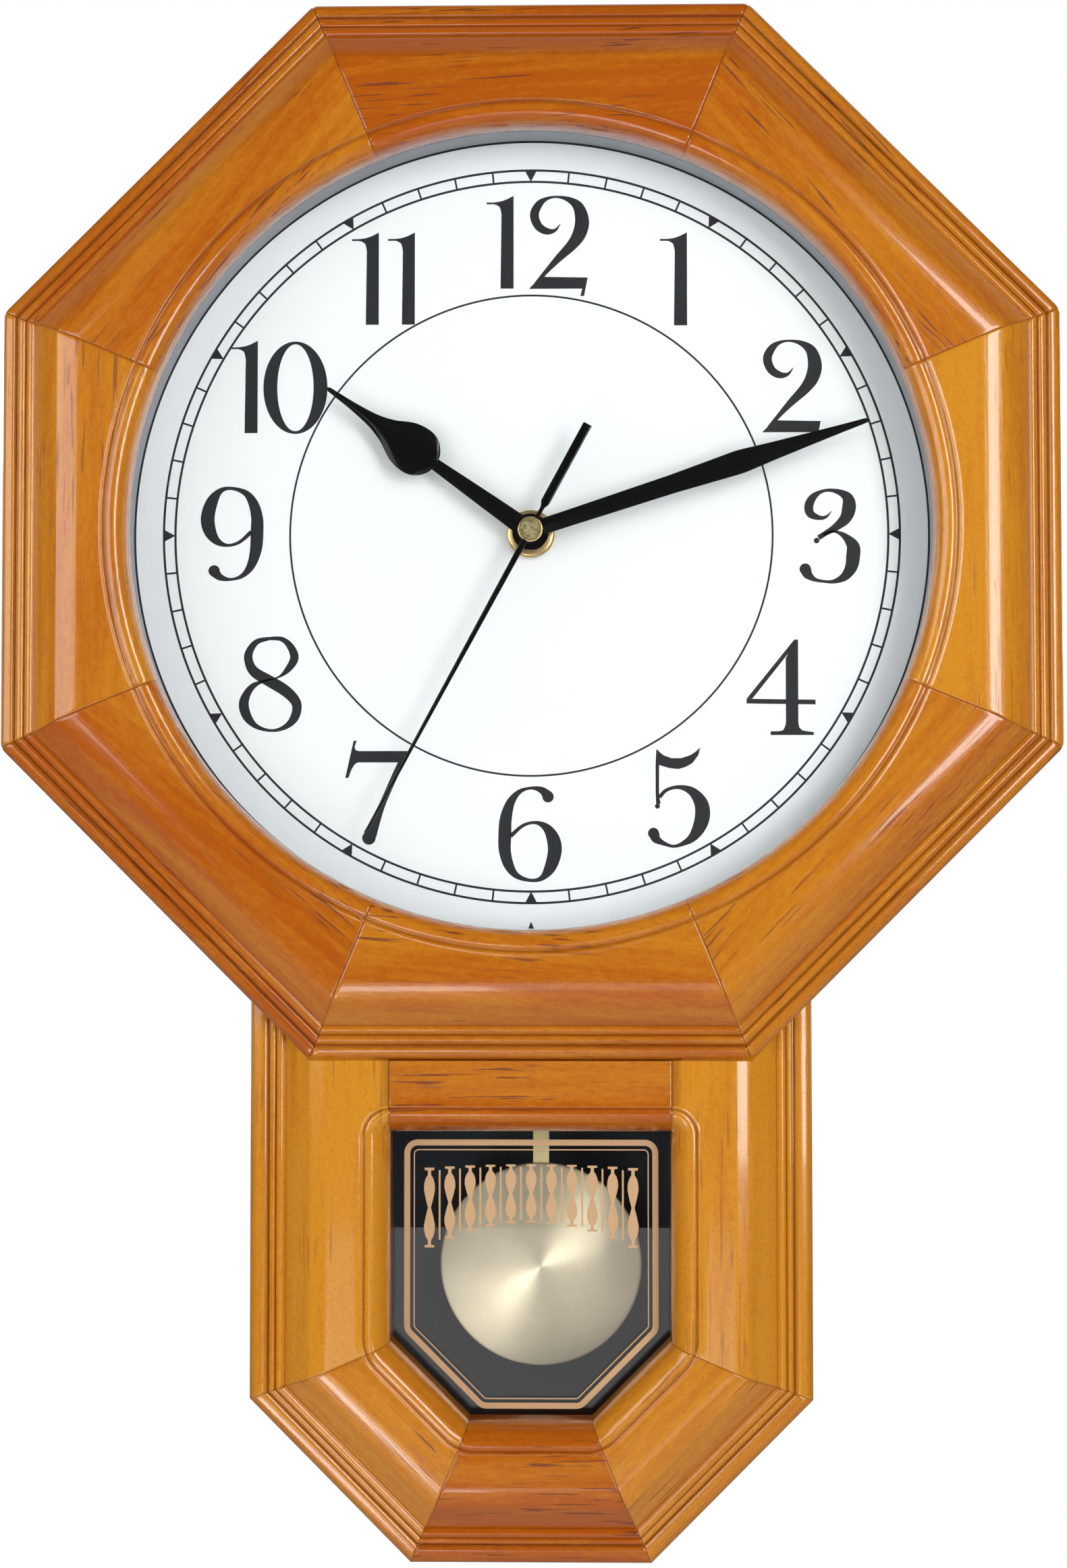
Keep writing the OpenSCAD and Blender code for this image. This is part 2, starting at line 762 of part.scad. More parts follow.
// Centre wheel, its pipe and the cannon pinion, moulded in one
module centre_wheel() {
  pipe_back = third_lv + wheel_t + 0.7;
  color("ivory") difference() {
    union() {
      wheel([0, 0], centre_n, m_centre, 0, centre_lv, wheel_t);
      wheel([0, 0], cannon_n, m_motion, 90, cannon_lv - pinion_lap,
        wheel_t + 2 * pinion_lap);
      bar([0, 0], minute_pipe_r, pipe_back, minute_hand_lv + hand_t + face_x - pipe_back);
    }
    bar([0, 0], arbor_r + run_gap, pipe_back - 1, through);
  }
}

module second_hand() {
  l = second_l;
  color("black") plate(second_hand_lv, second_t) difference() {
    union() {
      circle(r = 3);
      blade(second_angle, [[0.95, 0], [0.7, 0.4 * l], [0.25, l]]);
      blade(second_angle + 180, [[0.7, 0], [0.75, 0.31 * tail_l], [1.35, 0.4 * tail_l],
        [1.35, tail_l]]);
    }
    circle(r = arbor_r);
  }
}

module second_cap() {
  color("gold") difference() {
    bar([0, 0], cap_r, cap_lv, cap_h);
    bar([0, 0], arbor_r, cap_lv - 1, cap_h + 0.3);
  }
}

module second_wheel() {
  tip = cap_lv + cap_h - 0.7;
  color("ivory") {
    bar([0, 0], arbor_r, arbor_back, tip - arbor_back);
    wheel([0, 0], second_pinion_n, m_third, facing(second_pinion_n, 180),
      third_lv - pinion_lap, wheel_t + 2 * pinion_lap);
    wheel([0, 0], second_n, m_second, 180, second_lv, wheel_t);
  }
}

module third_wheel() {
  color("ivory") {
    arbor(third_at, arbor_r);
    wheel(third_at, third_pinion_n, m_centre, facing(third_pinion_n, 0),
      centre_lv - pinion_lap, wheel_t + 2 * pinion_lap);
    wheel(third_at, third_n, m_third, 180, third_lv, wheel_t);
  }
}

// Motion-work wheel between the cannon pinion and the hour wheel
module motion_wheel() {
  back = cover_out - swing_gap - knob_t;
  color("ivory") {
    bar(setting_at, setting_r, back, arbor_front - back);
    wheel(setting_at, motion_n, m_motion, facing(motion_n, 90), cannon_lv, wheel_t);
    wheel(setting_at, motion_pinion_n, m_hour, 270, cannon_lv,
      hour_lv + wheel_t + pinion_lap - cannon_lv);
  }
}

knob_t = 3;

module setting_knob() {
  color("dimgray") difference() {
    bar(setting_at, knob_r, cover_out - swing_gap - knob_t, knob_t);
    bar(setting_at, setting_r, cover_out - swing_gap - knob_t - 1, knob_t + 2);
  }
}

module intermediate_wheel() {
  color("ivory") {
    arbor(mid_at, arbor_r);
    wheel(mid_at, mid_pinion_n, m_second, facing(mid_pinion_n, 180),
      second_lv - pinion_lap, wheel_t + 2 * pinion_lap);
    wheel(mid_at, mid_n, m_mid, rotor_turn, mid_lv, wheel_t);
  }
}

rotor_h = 3.4;

module rotor() {
  color("dimgray") {
    arbor(rotor_at, arbor_r);
    wheel(rotor_at, rotor_pinion_n, m_mid, facing(rotor_pinion_n, rotor_turn),
      mid_lv - pinion_lap, wheel_t + 2 * pinion_lap);
    bar(rotor_at, rotor_r, rotor_lv, rotor_h);
  }
}

module stator() {
  bar_x = post_spots[1][0] - 1.5;
  color("silver") plate(stator_lv, stator_t) difference() {
    union() {
      translate(rotor_at) circle(r = rotor_r + 2.8);
      translate([bar_x, coil_at[1] - 1])
        square([post_spots[0][0] + 1.5 - bar_x, 2]);
    }
    translate(rotor_at) circle(r = rotor_r + 0.5);
  }
}

module motor_coil() {
  color("orangered") translate([coil_at[0] - coil_l / 2, -coil_lv, coil_at[1] - head_drop])
    difference() {
      rotate([0, 90, 0]) cylinder(r = coil_r, h = coil_l);
      translate([-1, -stator_t / 2 - 0.1, -1.1]) cube([coil_l + 2, stator_t + 0.2, 2.2]);
    }
}

module circuit_board() {
  in_x = train_cd + 2.5;
  color("green") plate(cover_in, 1) translate([in_x, 2 - bay_z])
    square([move_w / 2 - move_wall - 0.5 - in_x, bay_z + 6]);
}

battery_lv = wall_in - battery_r - 0.05;

module battery() {
  color("darkolivegreen") translate([-battery_l / 2, -battery_lv, battery_z - head_drop])
    rotate([0, 90, 0]) {
      cylinder(r = battery_r, h = battery_l - 1);
      cylinder(r = 2.5, h = battery_l);
    }
}

module battery_contacts() {
  in_x = move_w / 2 - move_wall;
  color("silver") for (side = [-1, 1]) {
    translate([side * (in_x - contact_t / 2), -battery_lv, battery_z - head_drop])
      cube([contact_t, contact_h + 1, contact_h], center = true);
    translate([side * (in_x - contact_t), -battery_lv, battery_z - head_drop])
      rotate([0, -side * 90, 0]) cylinder(r = 3, h = in_x - contact_t - battery_l / 2);
  }
}

module drive_coil() {
  color("orangered") difference() {
    bar(drive_at, drive_r, drive_lv, drive_h);
    bar(drive_at, 2 + bore_gap, drive_lv - 1, drive_h + 2);
  }
}

module swing_arm() {
  foot = swing_z + tab_z + 0.8 * tab_margin;
  color("lightgray") plate(arm_lv, arm_t) difference() {
    union() {
      translate([swing_x, -swing_z]) circle(r = 2.5 * swing_pin_r);
      translate([swing_x - arm_w / 2, -foot]) square([arm_w, foot - swing_z]);
    }
    translate([swing_x, -swing_z]) circle(r = swing_pin_r + run_gap);
    translate([swing_x, -swing_z - tab_z])
      square([tab_w + 2 * slot_gap, tab_h + 2 * slot_gap], center = true);
  }
}

module arm_magnet() {
  color("dimgray") bar(drive_at, magnet_r, arm_lv + arm_t, 2);
}

// Strip of the pendulum with the tab that hangs in the arm's slot
module pendulum_rod() {
  foot = bob_z + bob_r - 0.5;
  color("goldenrod") {
    plate(rod_lv, rod_t) translate([swing_x - rod_w / 2, -foot])
      square([rod_w, foot - rod_top_z]);
    plate(rod_lv, rod_t + arm_t + 0.7) translate([swing_x, -swing_z - tab_z])
      square([tab_w, tab_h], center = true);
  }
}

// Domed sheet bob with a rolled edge, open behind
module pendulum_bob() {
  out_r = bob_r - 1;
  in_r = out_r - bob_t;
  rim_h = 1.3;
  rise = bob_h - rim_h;
  color("goldenrod") plate_at([swing_x, -bob_z], rod_lv + rod_t) rotate_extrude() polygon(concat(
    [for (a = [0:9:81]) [out_r * sin(a), rim_h + rise * cos(a)]],
    [[out_r, rim_h], [bob_r, rim_h], [bob_r, 0], [in_r, 0]],
    [for (a = [81:-9:0]) [in_r * sin(a), rim_h + (rise - bob_t) * cos(a)]]
  ));
}

bezel(90);  // bezel_top
bezel(135);  // bezel_top_left
bezel(180);  // bezel_left
bezel(225);  // bezel_bottom_left
bezel(270);  // bezel_bottom
bezel(315);  // bezel_bottom_right
bezel(0);  // bezel_right
bezel(45);  // bezel_top_right
mirror([1, 0, 0]) stile_shape();  // drop_left_stile
stile_shape();  // drop_right_stile
drop_top_rail();
mirror([1, 0, 0]) diagonal_shape();  // drop_left_diagonal
diagonal_shape();  // drop_right_diagonal
drop_bottom_rail();
head_top_board();
mirror([1, 0, 0]) head_side_shape();  // head_left_board
head_side_shape();  // head_right_board
head_floor_board();
mirror([1, 0, 0]) trunk_side_shape();  // trunk_left_board
trunk_side_shape();  // trunk_right_board
mirror([1, 0, 0]) trunk_diagonal_shape();  // trunk_left_diagonal
trunk_diagonal_shape();  // trunk_right_diagonal
trunk_floor_board();
dial_board();
head_back();
trunk_back();
dial_glass();
spacer_ring();
dial_plate();
window_glass();
glass_clips();
hanger_plate();
screws();
movement_housing();
movement_cover();
threaded_bush();
washer();
round_nut();
hour_hand();
hour_wheel();
minute_hand();
centre_wheel();
second_hand();
second_cap();
second_wheel();
third_wheel();
motion_wheel();
setting_knob();
intermediate_wheel();
rotor();
stator();
motor_coil();
circuit_board();
battery();
battery_contacts();
drive_coil();
swing_arm();
arm_magnet();
pendulum_rod();
pendulum_bob();
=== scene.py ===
import math

import bmesh
import bpy
import numpy as np
from mathutils import Matrix, Vector


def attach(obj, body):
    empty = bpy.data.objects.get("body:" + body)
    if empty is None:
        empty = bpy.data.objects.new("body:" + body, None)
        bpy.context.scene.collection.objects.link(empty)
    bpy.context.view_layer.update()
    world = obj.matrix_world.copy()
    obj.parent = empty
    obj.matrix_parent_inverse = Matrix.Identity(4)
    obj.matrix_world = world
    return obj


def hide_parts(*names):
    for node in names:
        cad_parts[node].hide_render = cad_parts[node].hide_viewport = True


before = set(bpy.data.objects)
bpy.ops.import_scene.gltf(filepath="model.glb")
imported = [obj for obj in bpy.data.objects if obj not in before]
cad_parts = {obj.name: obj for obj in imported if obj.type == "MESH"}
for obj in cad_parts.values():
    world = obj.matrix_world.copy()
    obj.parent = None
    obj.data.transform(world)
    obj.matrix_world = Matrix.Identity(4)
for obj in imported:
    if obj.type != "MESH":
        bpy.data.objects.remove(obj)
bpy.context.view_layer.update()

# Lengths below are in mm, seen from the front: x to the right, z up from the dial's centre,
# depth from the wall towards the room. The keyhole is the origin of the finished metres.
dialHeight = -85.0
eighth = math.radians(45)


# Meshes

def placed(x, z, depth):
    # arrays of x, z and depth in mm become one array of points in metres
    x, z, depth = np.broadcast_arrays(*(np.asarray(a, float) for a in (x, z, depth)))
    return np.stack([x, -depth, z + dialHeight], -1).reshape(-1, 3) * 0.001


def gridFaces(rows, columns, closeRows=False, closeColumns=False):
    # quads between neighbouring grid points, wrapping round where a side is closed
    i = np.arange(rows if closeRows else rows - 1)[:, None]
    j = np.arange(columns if closeColumns else columns - 1)[None, :]
    k, m = (i + 1) % rows, (j + 1) % columns
    quads = [i * columns + j, i * columns + m, k * columns + m, k * columns + j]
    return np.stack(np.broadcast_arrays(*quads), -1).reshape(-1, 4).tolist()


def capFaces(rows, columns):
    # the two end faces of a closed section carried along the columns
    first = np.arange(rows) * columns
    return [first.tolist(), (first + columns - 1)[::-1].tolist()]


class Solid:
    # collects points, faces and per-point values of one piece
    def __init__(self):
        self.points, self.faces, self.values, self.count = [], [], {}, 0

    def add(self, points, faces, **values):
        self.faces += [[n + self.count for n in face] for face in faces]
        for name, value in values.items():
            self.values.setdefault(name, []).append(np.asarray(value, float))
        self.points.append(points)
        self.count += len(points)
        return self

    def sweep(self, x, z, depth, closeColumns=False, **values):
        # a closed section (rows) carried along its columns, with both ends capped
        rows, columns = np.broadcast_shapes(np.shape(x), np.shape(z), np.shape(depth))
        faces = gridFaces(rows, columns, True, closeColumns)
        if not closeColumns:
            faces += capFaces(rows, columns)
        return self.add(placed(x, z, depth), faces, **values)

    def band(self, left, right, low, high, closed=False):
        # a flat band between two lines of x and z, from one depth to another
        x, z = (np.stack([left[k], left[k], right[k], right[k]]) for k in range(2))
        return self.sweep(x, z, np.array([low, high, high, low])[:, None] + 0 * x, closed)

    def turned(self, profile, segments, centre=(0, 0), closed=True):
        # a profile of (radius, depth) turned about the depth axis
        radius, depth = np.array(profile, float).T[:, :, None]
        angle = np.arange(segments)[None, :] * 2 * math.pi / segments
        points = placed(centre[0] + radius * np.cos(angle), centre[1] + radius * np.sin(angle),
                        depth + 0 * angle)
        return self.add(points, gridFaces(len(profile), segments, closed, True))

    def prism(self, outline, low, high):
        # a flat shape between two depths
        outline = np.array(outline, float)
        n = len(outline)
        depth = np.array([[low], [high]])
        return self.add(placed(outline[:, 0], outline[:, 1], depth),
                        gridFaces(2, n, False, True) + [list(range(n))[::-1],
                                                        list(range(n, 2 * n))])

    def piece(self, name, material, slot, body="case", stands=(), flats=32):
        # the mesh with its doubles merged, smooth but for edges sharper than flats degrees
        mesh = bpy.data.meshes.new(name)
        mesh.from_pydata(np.concatenate(self.points).tolist(), [], self.faces)
        for key, parts in self.values.items():
            value = np.concatenate(parts)
            kind = "FLOAT_VECTOR" if value.ndim == 2 else "FLOAT"
            layer = mesh.attributes.new(key, kind, "POINT")
            layer.data.foreach_set("vector" if value.ndim == 2 else "value",
                                   value.astype(np.float32).ravel())
        work = bmesh.new()
        work.from_mesh(mesh)
        bmesh.ops.remove_doubles(work, verts=work.verts, dist=1e-6)
        bmesh.ops.dissolve_degenerate(work, edges=work.edges, dist=1e-7)
        bmesh.ops.recalc_face_normals(work, faces=work.faces)
        work.to_mesh(mesh)
        work.free()
        mesh.shade_smooth()
        mesh.set_sharp_from_angle(angle=math.radians(flats))
        mesh.materials.append(material)
        made = bpy.data.objects.new(name, mesh)
        bpy.context.scene.collection.objects.link(made)
        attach(made, body)
        if stands:
            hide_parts(*stands)
        return made


def arc(x, y, radius, start, end, steps):
    # points on a round, its angles in degrees
    a = np.radians(np.linspace(start, end, steps))
    return list(zip(x + radius * np.cos(a), y + radius * np.sin(a)))


def smoothLine(points, steps):
    # a Catmull-Rom curve through the points: each stretch is a cubic blend of its four neighbours
    p = np.array(points, float)
    p = np.vstack([2 * p[0] - p[1], p, 2 * p[-1] - p[-2]])
    t = np.linspace(0, 1, steps, endpoint=False)[None, :, None]
    a, b, c, d = (p[k:len(p) - 3 + k][:, None, :] for k in range(4))
    curve = 0.5 * (2 * b + (c - a) * t + (2 * a - 5 * b + 4 * c - d) * t ** 2
                   + (3 * b - a - 3 * c + d) * t ** 3)
    return np.vstack([curve.reshape(-1, p.shape[1]), p[-2]])


# Shaders

class Value:
    # a shader socket; arithmetic on it adds Math nodes
    def __init__(self, shader, socket):
        self.shader, self.socket = shader, socket

    def math(self, operation, *others, clamp=False):
        inputs = dict(enumerate((self,) + others))
        return self.shader.node("ShaderNodeMath", dict(operation=operation, use_clamp=clamp),
                                inputs)

    def __add__(self, other):
        return self.math("ADD", other)

    def __sub__(self, other):
        return self.math("SUBTRACT", other)

    def __rsub__(self, other):
        return (self * -1) + other

    def __mul__(self, other):
        return self.math("MULTIPLY", other)

    __radd__ = __add__
    __rmul__ = __mul__

    def between(self, low, high):
        # 0 below low, 1 above high, smooth between
        return self.shader.node(
            "ShaderNodeMapRange", dict(interpolation_type="SMOOTHSTEP"),
            {0: self, 1: low, 2: high})


class Shader:
    # the nodes of one material, or of the world
    def __init__(self, name, world=False):
        self.owner = (bpy.data.worlds if world else bpy.data.materials).new(name)
        self.owner.use_nodes = True
        self.tree = self.owner.node_tree
        self.tree.nodes.clear()
        self.where = None

    def node(self, kind, settings=None, inputs=None, output=0):
        # a node of any type: its settings first, then the values or links of its sockets
        made = self.tree.nodes.new(kind)
        for key, value in (settings or {}).items():
            setattr(made, key, value)
        for key, value in (inputs or {}).items():
            if isinstance(value, Value):
                self.tree.links.new(value.socket, made.inputs[key])
            elif isinstance(value, tuple) and len(value) == 3 and \
                    made.inputs[key].type == "RGBA":
                made.inputs[key].default_value = (*value, 1)
            else:
                made.inputs[key].default_value = value
        return Value(self, made.outputs[output]) if len(made.outputs) else None

    def place(self):
        # where the pattern is read: the place on the object, unless the material sets another
        if self.where is None:
            self.where = self.node("ShaderNodeTexCoord", output="Object")
        return self.where

    def attribute(self, name, vector=False):
        return self.node("ShaderNodeAttribute", dict(attribute_name=name),
                         output="Vector" if vector else "Fac")

    def scaled(self, vector, by):
        return self.node("ShaderNodeVectorMath", dict(operation="MULTIPLY"), {0: vector, 1: by})

    def parts(self, vector):
        split = self.node("ShaderNodeSeparateXYZ", inputs={0: vector}).socket.node
        return [Value(self, socket) for socket in split.outputs]

    def noise(self, scale, detail=2.0, roughness=0.5, distortion=0.0):
        # the scale is one number, or one for each axis
        steps = scale if isinstance(scale, tuple) else (scale,) * 3
        return self.node("ShaderNodeTexNoise", inputs=dict(
            Vector=self.scaled(self.place(), steps), Scale=1.0, Detail=detail,
            Roughness=roughness, Distortion=distortion))

    def mix(self, low, high, share):
        return self.node("ShaderNodeMix", dict(data_type="RGBA"), {0: share, 6: low, 7: high},
                         output=2)

    def bump(self, height, distance):
        return self.node("ShaderNodeBump", inputs=dict(Height=height, Distance=distance))

    def principled(self, **inputs):
        # socket names are given in camelCase
        names = {key: "".join(" " + c if c.isupper() else c for c in key).strip().title()
                 .replace("Ior", "IOR") for key in inputs}
        return self.node("ShaderNodeBsdfPrincipled",
                         inputs={names[key]: value for key, value in inputs.items()})

    def finish(self, shine):
        self.node("ShaderNodeOutputMaterial", inputs={"Surface": shine})
        return self.owner

    def surface(self, **inputs):
        return self.finish(self.principled(**inputs))


# Stained pine

# the dark brown given for darkening is mixed in where a rail's darkening value is high
pine = dict(
    honey=(0.82, 0.325, 0.018), amber=(0.54, 0.115, 0.003), streak=(0.18, 0.026, 0.002),
    stain=(0.18, 0.034, 0.004), speck=(0.36, 0.088, 0.006), relief=0.00006, roughness=0.17,
    coat=0.75,
)


def pineMaterial(name, colours=pine, turn=None):
    # grain runs along the first coordinate: broad bands, fine lines, short resin streaks, specks;
    # rails bring their own grain, darkening and tone, the tone partly the wood's own and partly
    # painted light and shade, and boards turn the grain of their place
    shader = Shader(name)
    isRail = turn is None
    shader.where = shader.attribute("grain", vector=True) if isRail else shader.node(
        "ShaderNodeMapping", inputs={"Vector": shader.place(), "Rotation": turn})
    across, up = shader.parts(shader.where)[1:]
    wave = shader.noise((7, 30, 30))
    broad = shader.noise((5, 42, 42), 3, distortion=0.3)
    rings = ((across + up * 0.7) * 900 + wave * 22).math("SINE") * 0.5 + 0.5
    fibre = shader.noise((30, 460, 460), 3, 0.65)
    fine = shader.noise((60, 1500, 1500), 3, 0.6)
    specks = shader.noise((1100, 2000, 2000), 2, 0.7)
    mottle = shader.noise((330, 760, 760))
    clouds = shader.noise((18, 36, 36))
    patch = shader.noise((20, 60, 60), 1)
    thin = shader.noise((46, 1050, 1050), 1)
    streaks = thin.between(0.62, 0.69) * patch.between(0.50, 0.60)
    share = broad.between(0.32, 0.68) * 0.44 + rings * 0.12 + fibre.between(0.3, 0.7) * 0.24 \
        + mottle.between(0.3, 0.7) * 0.18 + (clouds - 0.5) * 0.4
    if isRail:
        # each rail's tone, partly the wood's own and partly painted light and shade, shifts its
        # colour and how strongly its streaks show
        tone = shader.attribute("tone")
        streaks = streaks * (tone.between(0.2, 0.65) * 0.55 + 0.45)
        share = share + (tone - 0.5)
    colour = shader.mix(colours["honey"], colours["amber"], share.math("ADD", 0.0, clamp=True))
    colour = shader.mix(colour, colours["speck"], specks.between(0.5, 0.72) * 0.36)
    colour = shader.mix(colour, colours["streak"], streaks * 0.8)
    if isRail:
        # darker in the grooves, on the outer edges, down the walls into the openings and at the
        # mitres, by each rail's darkening value
        colour = shader.mix(colour, colours["stain"], shader.attribute("stain") * 0.72)
    return shader.surface(
        baseColor=colour, roughness=colours["roughness"] + (specks - 0.5) * 0.16 + streaks * 0.2,
        coatWeight=colours["coat"], coatRoughness=0.06, coatIor=1.5, ior=1.5,
        normal=shader.bump(fine * 0.7 + specks * 0.5 - streaks * 0.8, colours["relief"]))


pineRails = pineMaterial("stained_pine")

# Eight mitred rails make the octagon. Heights are over the rails' backs, distances from the edge.
bezel = dict(
    halfWidth=162.0, backDepth=65.0, flatFrom=25.4, flatHeight=26.6, flatFall=0.0557, opening=122.4,
    ringLine=130.4, columns=41, cornerRound=4.5, roundFade=1.7, roundEnd=4.1,
    mitreGap=(0.25, 0.16), grainShift=(400, 53, 17),
)
bezelNames = ["bezel_right", "bezel_top_right", "bezel_top", "bezel_top_left",
              "bezel_left", "bezel_bottom_left", "bezel_bottom", "bezel_bottom_right"]
bezelLeans = [0.02, -0.05, 0.06, 0.09, -0.02, 0.10, -0.07, 0.04]
# a tone for each rail, partly the wood's own and partly painted light and shade: the right rail,
# lit by the key lamp, palest and the top darkest
bezelTonesAndShade = [0.18, 0.61, 0.97, 0.73, 0.36, 0.80, 0.68, 0.47]


def cornerTrim(distance, radius):
    # how far a rounded line leaves its sharp corner: a circle's sagitta by the distance along
    # the rail from the mitre
    reach = radius * math.tan(eighth / 2)
    inside = np.clip(reach - distance, 0, None)
    return radius - np.sqrt(radius ** 2 - inside ** 2)


def woodRail(frameValues, node, ending, index, tone, x, z, height, stain, distance, front, grain):
    # one rail of a frame: darker towards its mitres, with a fine groove along them in front; both
    # fade with the distance from the mitre as a bell curve
    mitre = 0.6 * np.exp(-(distance / 0.2) ** 2) + 0.10 * np.exp(-(distance / 1.1) ** 2)
    gap, width = frameValues["mitreGap"]
    height = np.where(front, height - gap * np.exp(-(distance / width) ** 2), height)
    grain = np.stack([*grain, height], -1) + index * np.array(frameValues["grainShift"])
    return Solid().sweep(
        x, z, frameValues["backDepth"] + height, grain=grain.reshape(-1, 3) * 0.001,
        stain=np.clip(np.maximum(stain, mitre), 0, 1).ravel(),
        tone=np.full(x.size, tone)).piece(
            node + ending, pineRails, "stained_pine", stands=(node,), flats=50)


def bezelSection():
    # (distance from the edge, height, darkening) over the outer round, two beads, slope and crest
    rows = [(0, 0, .5), (0, 6, .45), (0, 12, .4)]
    rows += [(*p, .30) for p in arc(2.4, 15.2, 2.4, 180, 118, 7)]
    rows += [(1.8, 17.54, .2), (2.4, 17.70, .12), (3.0, 17.81, .12), (3.7, 17.86, .25),
             (4.1, 17.6, .6), (4.4, 17.2, .85), (4.6, 17.05, .85)]
    rows += [(4.78, 17.3, .7), (5.0, 17.85, .2), (5.4, 18.3, .1), (5.95, 18.6, .06),
             (6.5, 18.68, .06), (7.05, 18.58, .08), (7.4, 18.3, .3), (7.6, 18.05, .8)]
    rows += [(7.8, 18.2, .75), (8.05, 18.95, .2), (8.5, 19.5, .08), (9.05, 19.82, .04),
             (9.6, 19.9, .04), (10.15, 19.78, .08), (10.45, 19.52, .4), (10.65, 19.4, .75)]
    rows += [(10.9, 19.55, .5), (11.4, 19.95, .2)]
    slope = smoothLine([(12.2, 20.75), (14.0, 22.10), (16.4, 23.88), (17.8, 24.86), (18.6, 25.36),
                        (19.3, 25.68), (20.3, 25.95), (21.5, 26.20), (22.7, 26.40),
                        (23.9, 26.54), (25.4, 26.60)], 4)
    rows += [(s, h, .10 if s < 14 else 0.0) for s, h in slope]
    return rows


def bezelRail(name, turn, index):
    # the section follows the straight edge outside and blends into rings round the opening;
    # every column lies on a ray from the dial's centre, so the ends are true mitres
    b, section = bezel, np.array(bezelSection())
    ends = np.array([22.5, 22.43, 22.3, 22.0])
    angle = np.radians(np.concatenate([-ends, np.linspace(-21.6, 21.6, b["columns"]),
                                       ends[::-1]]))[None, :]
    fromMitre = b["halfWidth"] * (math.tan(eighth / 2) - np.tan(np.abs(angle)))
    fade = np.clip((b["roundEnd"] - section[:, 0:1]) / b["roundFade"], 0, 1)
    straight = (b["halfWidth"] - section[:, 0:1] - cornerTrim(fromMitre, b["cornerRound"]) * fade) \
        / np.cos(angle)
    share = np.linspace(0, 1, 14)[1:, None]
    inner = straight[-1:] + (b["ringLine"] - straight[-1:]) * share
    flat = lambda r: b["flatHeight"] - (b["halfWidth"] - r * np.cos(angle) - b["flatFrom"]) \
        * b["flatFall"]
    # (radius, height over the flat, darkening), then (radius, height, darkening)
    rim = np.array([(130.2, .02, .05), (129.95, .12, .04), (129.65, .20, .04),
                    (129.35, .12, .10), (129.1, -.10, .35), (128.85, -.35, .55)])
    ring = np.array([(128.6, 25.40, .6), (128.35, 25.38, .55), (128.1, 25.52, .25),
                     (127.75, 25.72, .08), (127.2, 25.88, .03), (126.4, 25.90, .0),
                     (125.5, 25.68, .0), (124.6, 25.22, .0), (123.8, 24.42, .04),
                     (123.2, 23.5, .08), (122.7, 22.3, .14), (122.45, 21.2, .2),
                     (b["opening"], 20.2, .25), (b["opening"], 17.0, .4), (127.0, 17.0, .6),
                     (127.0, 0.0, .6)])
    rimRadius, ringRadius = rim[:, 0:1] + 0 * angle, ring[:, 0:1] + 0 * angle
    radius = np.vstack([straight, inner, rimRadius, ringRadius])
    height = np.vstack([section[:, 1:2] + 0 * angle, flat(inner), flat(rimRadius) + rim[:, 1:2],
                        ring[:, 1:2] + 0 * angle])
    stain = np.concatenate([section[:, 2], 0 * share[:, 0], rim[:, 2], ring[:, 2]])[:, None]
    distance = np.abs(radius * np.sin(np.radians(22.5) - np.abs(angle)))
    out, side = radius * np.cos(angle), radius * np.sin(angle)
    x = out * math.cos(turn) - side * math.sin(turn)
    z = out * math.sin(turn) + side * math.cos(turn)
    front = (height > 10) & (radius > b["opening"] - 0.1)
    return woodRail(b, name, "_rail", index, bezelTonesAndShade[index], x, z, height, stain, distance,
                    front, (side, out + bezelLeans[index] * side))


for index, name in enumerate(bezelNames):
    bezelRail(name, index * eighth, index)
print("bezel rails done")

# The drop frame: stiles, top rail, two diagonals and the foot rail round the window
drop = dict(
    halfWidth=86.0, top=162.0, shoulder=67.1, foot=315.0, cornerSum=351.7, railWidth=43.2,
    windowTop=184.0, beadWidth=7.5, beadRim=1.4, flatFrom=24.0, crest=19.0, backDepth=65.0,
    cornerRound=12.0, topRound=8.0, roundFrom=184.5, roundTo=172.0, glassStep=4.0,
    mitreGap=(0.2, 0.15), grainShift=(410, 61, 13),
)


def sideCorner(e):
    # where the right stile meets its diagonal, e inwards from the outer edge
    d = drop
    return d["halfWidth"] - e, d["halfWidth"] - e - d["cornerSum"] + e * math.sqrt(2)


def footCorner(e):
    # where the right diagonal meets the foot rail, e inwards from the outer edge
    d = drop
    return d["cornerSum"] - e * math.sqrt(2) - d["foot"] + e, e - d["foot"]


def dropSection():
    # (distance from the outer edge, height, darkening) up to the crest
    rows = [(0, 0, .5), (0, 4, .5)]
    rows += [(*p, .34) for p in arc(2.3, 7.5, 2.3, 180, 112, 6)]
    rows += [(2.4, 9.9, .10), (3.8, 10.05, .10), (5.0, 10.1, .25), (5.5, 9.6, .7),
             (5.9, 9.25, .85), (6.1, 9.3, .85)]
    rows += [(*p, .10) for p in arc(7.2, 9.75, 1.1, 170, 20, 9)]
    rows += [(8.35, 10.0, .8)]
    rows += [(*p, .06) for p in arc(9.7, 10.85, 1.35, 165, 30, 9)]
    rows += [(11.15, 11.35, .7), (11.5, 11.75, .3)]
    slope = smoothLine([(12.2, 12.35), (14.0, 13.75), (16.4, 15.6), (18.0, 16.85), (18.8, 17.44),
                        (19.4, 17.80), (20.2, 18.10), (21.3, 18.40), (22.5, 18.67),
                        (24.0, 18.92)], 3)
    return rows + [(s, h, .08 if s < 13.5 else 0.0) for s, h in slope]


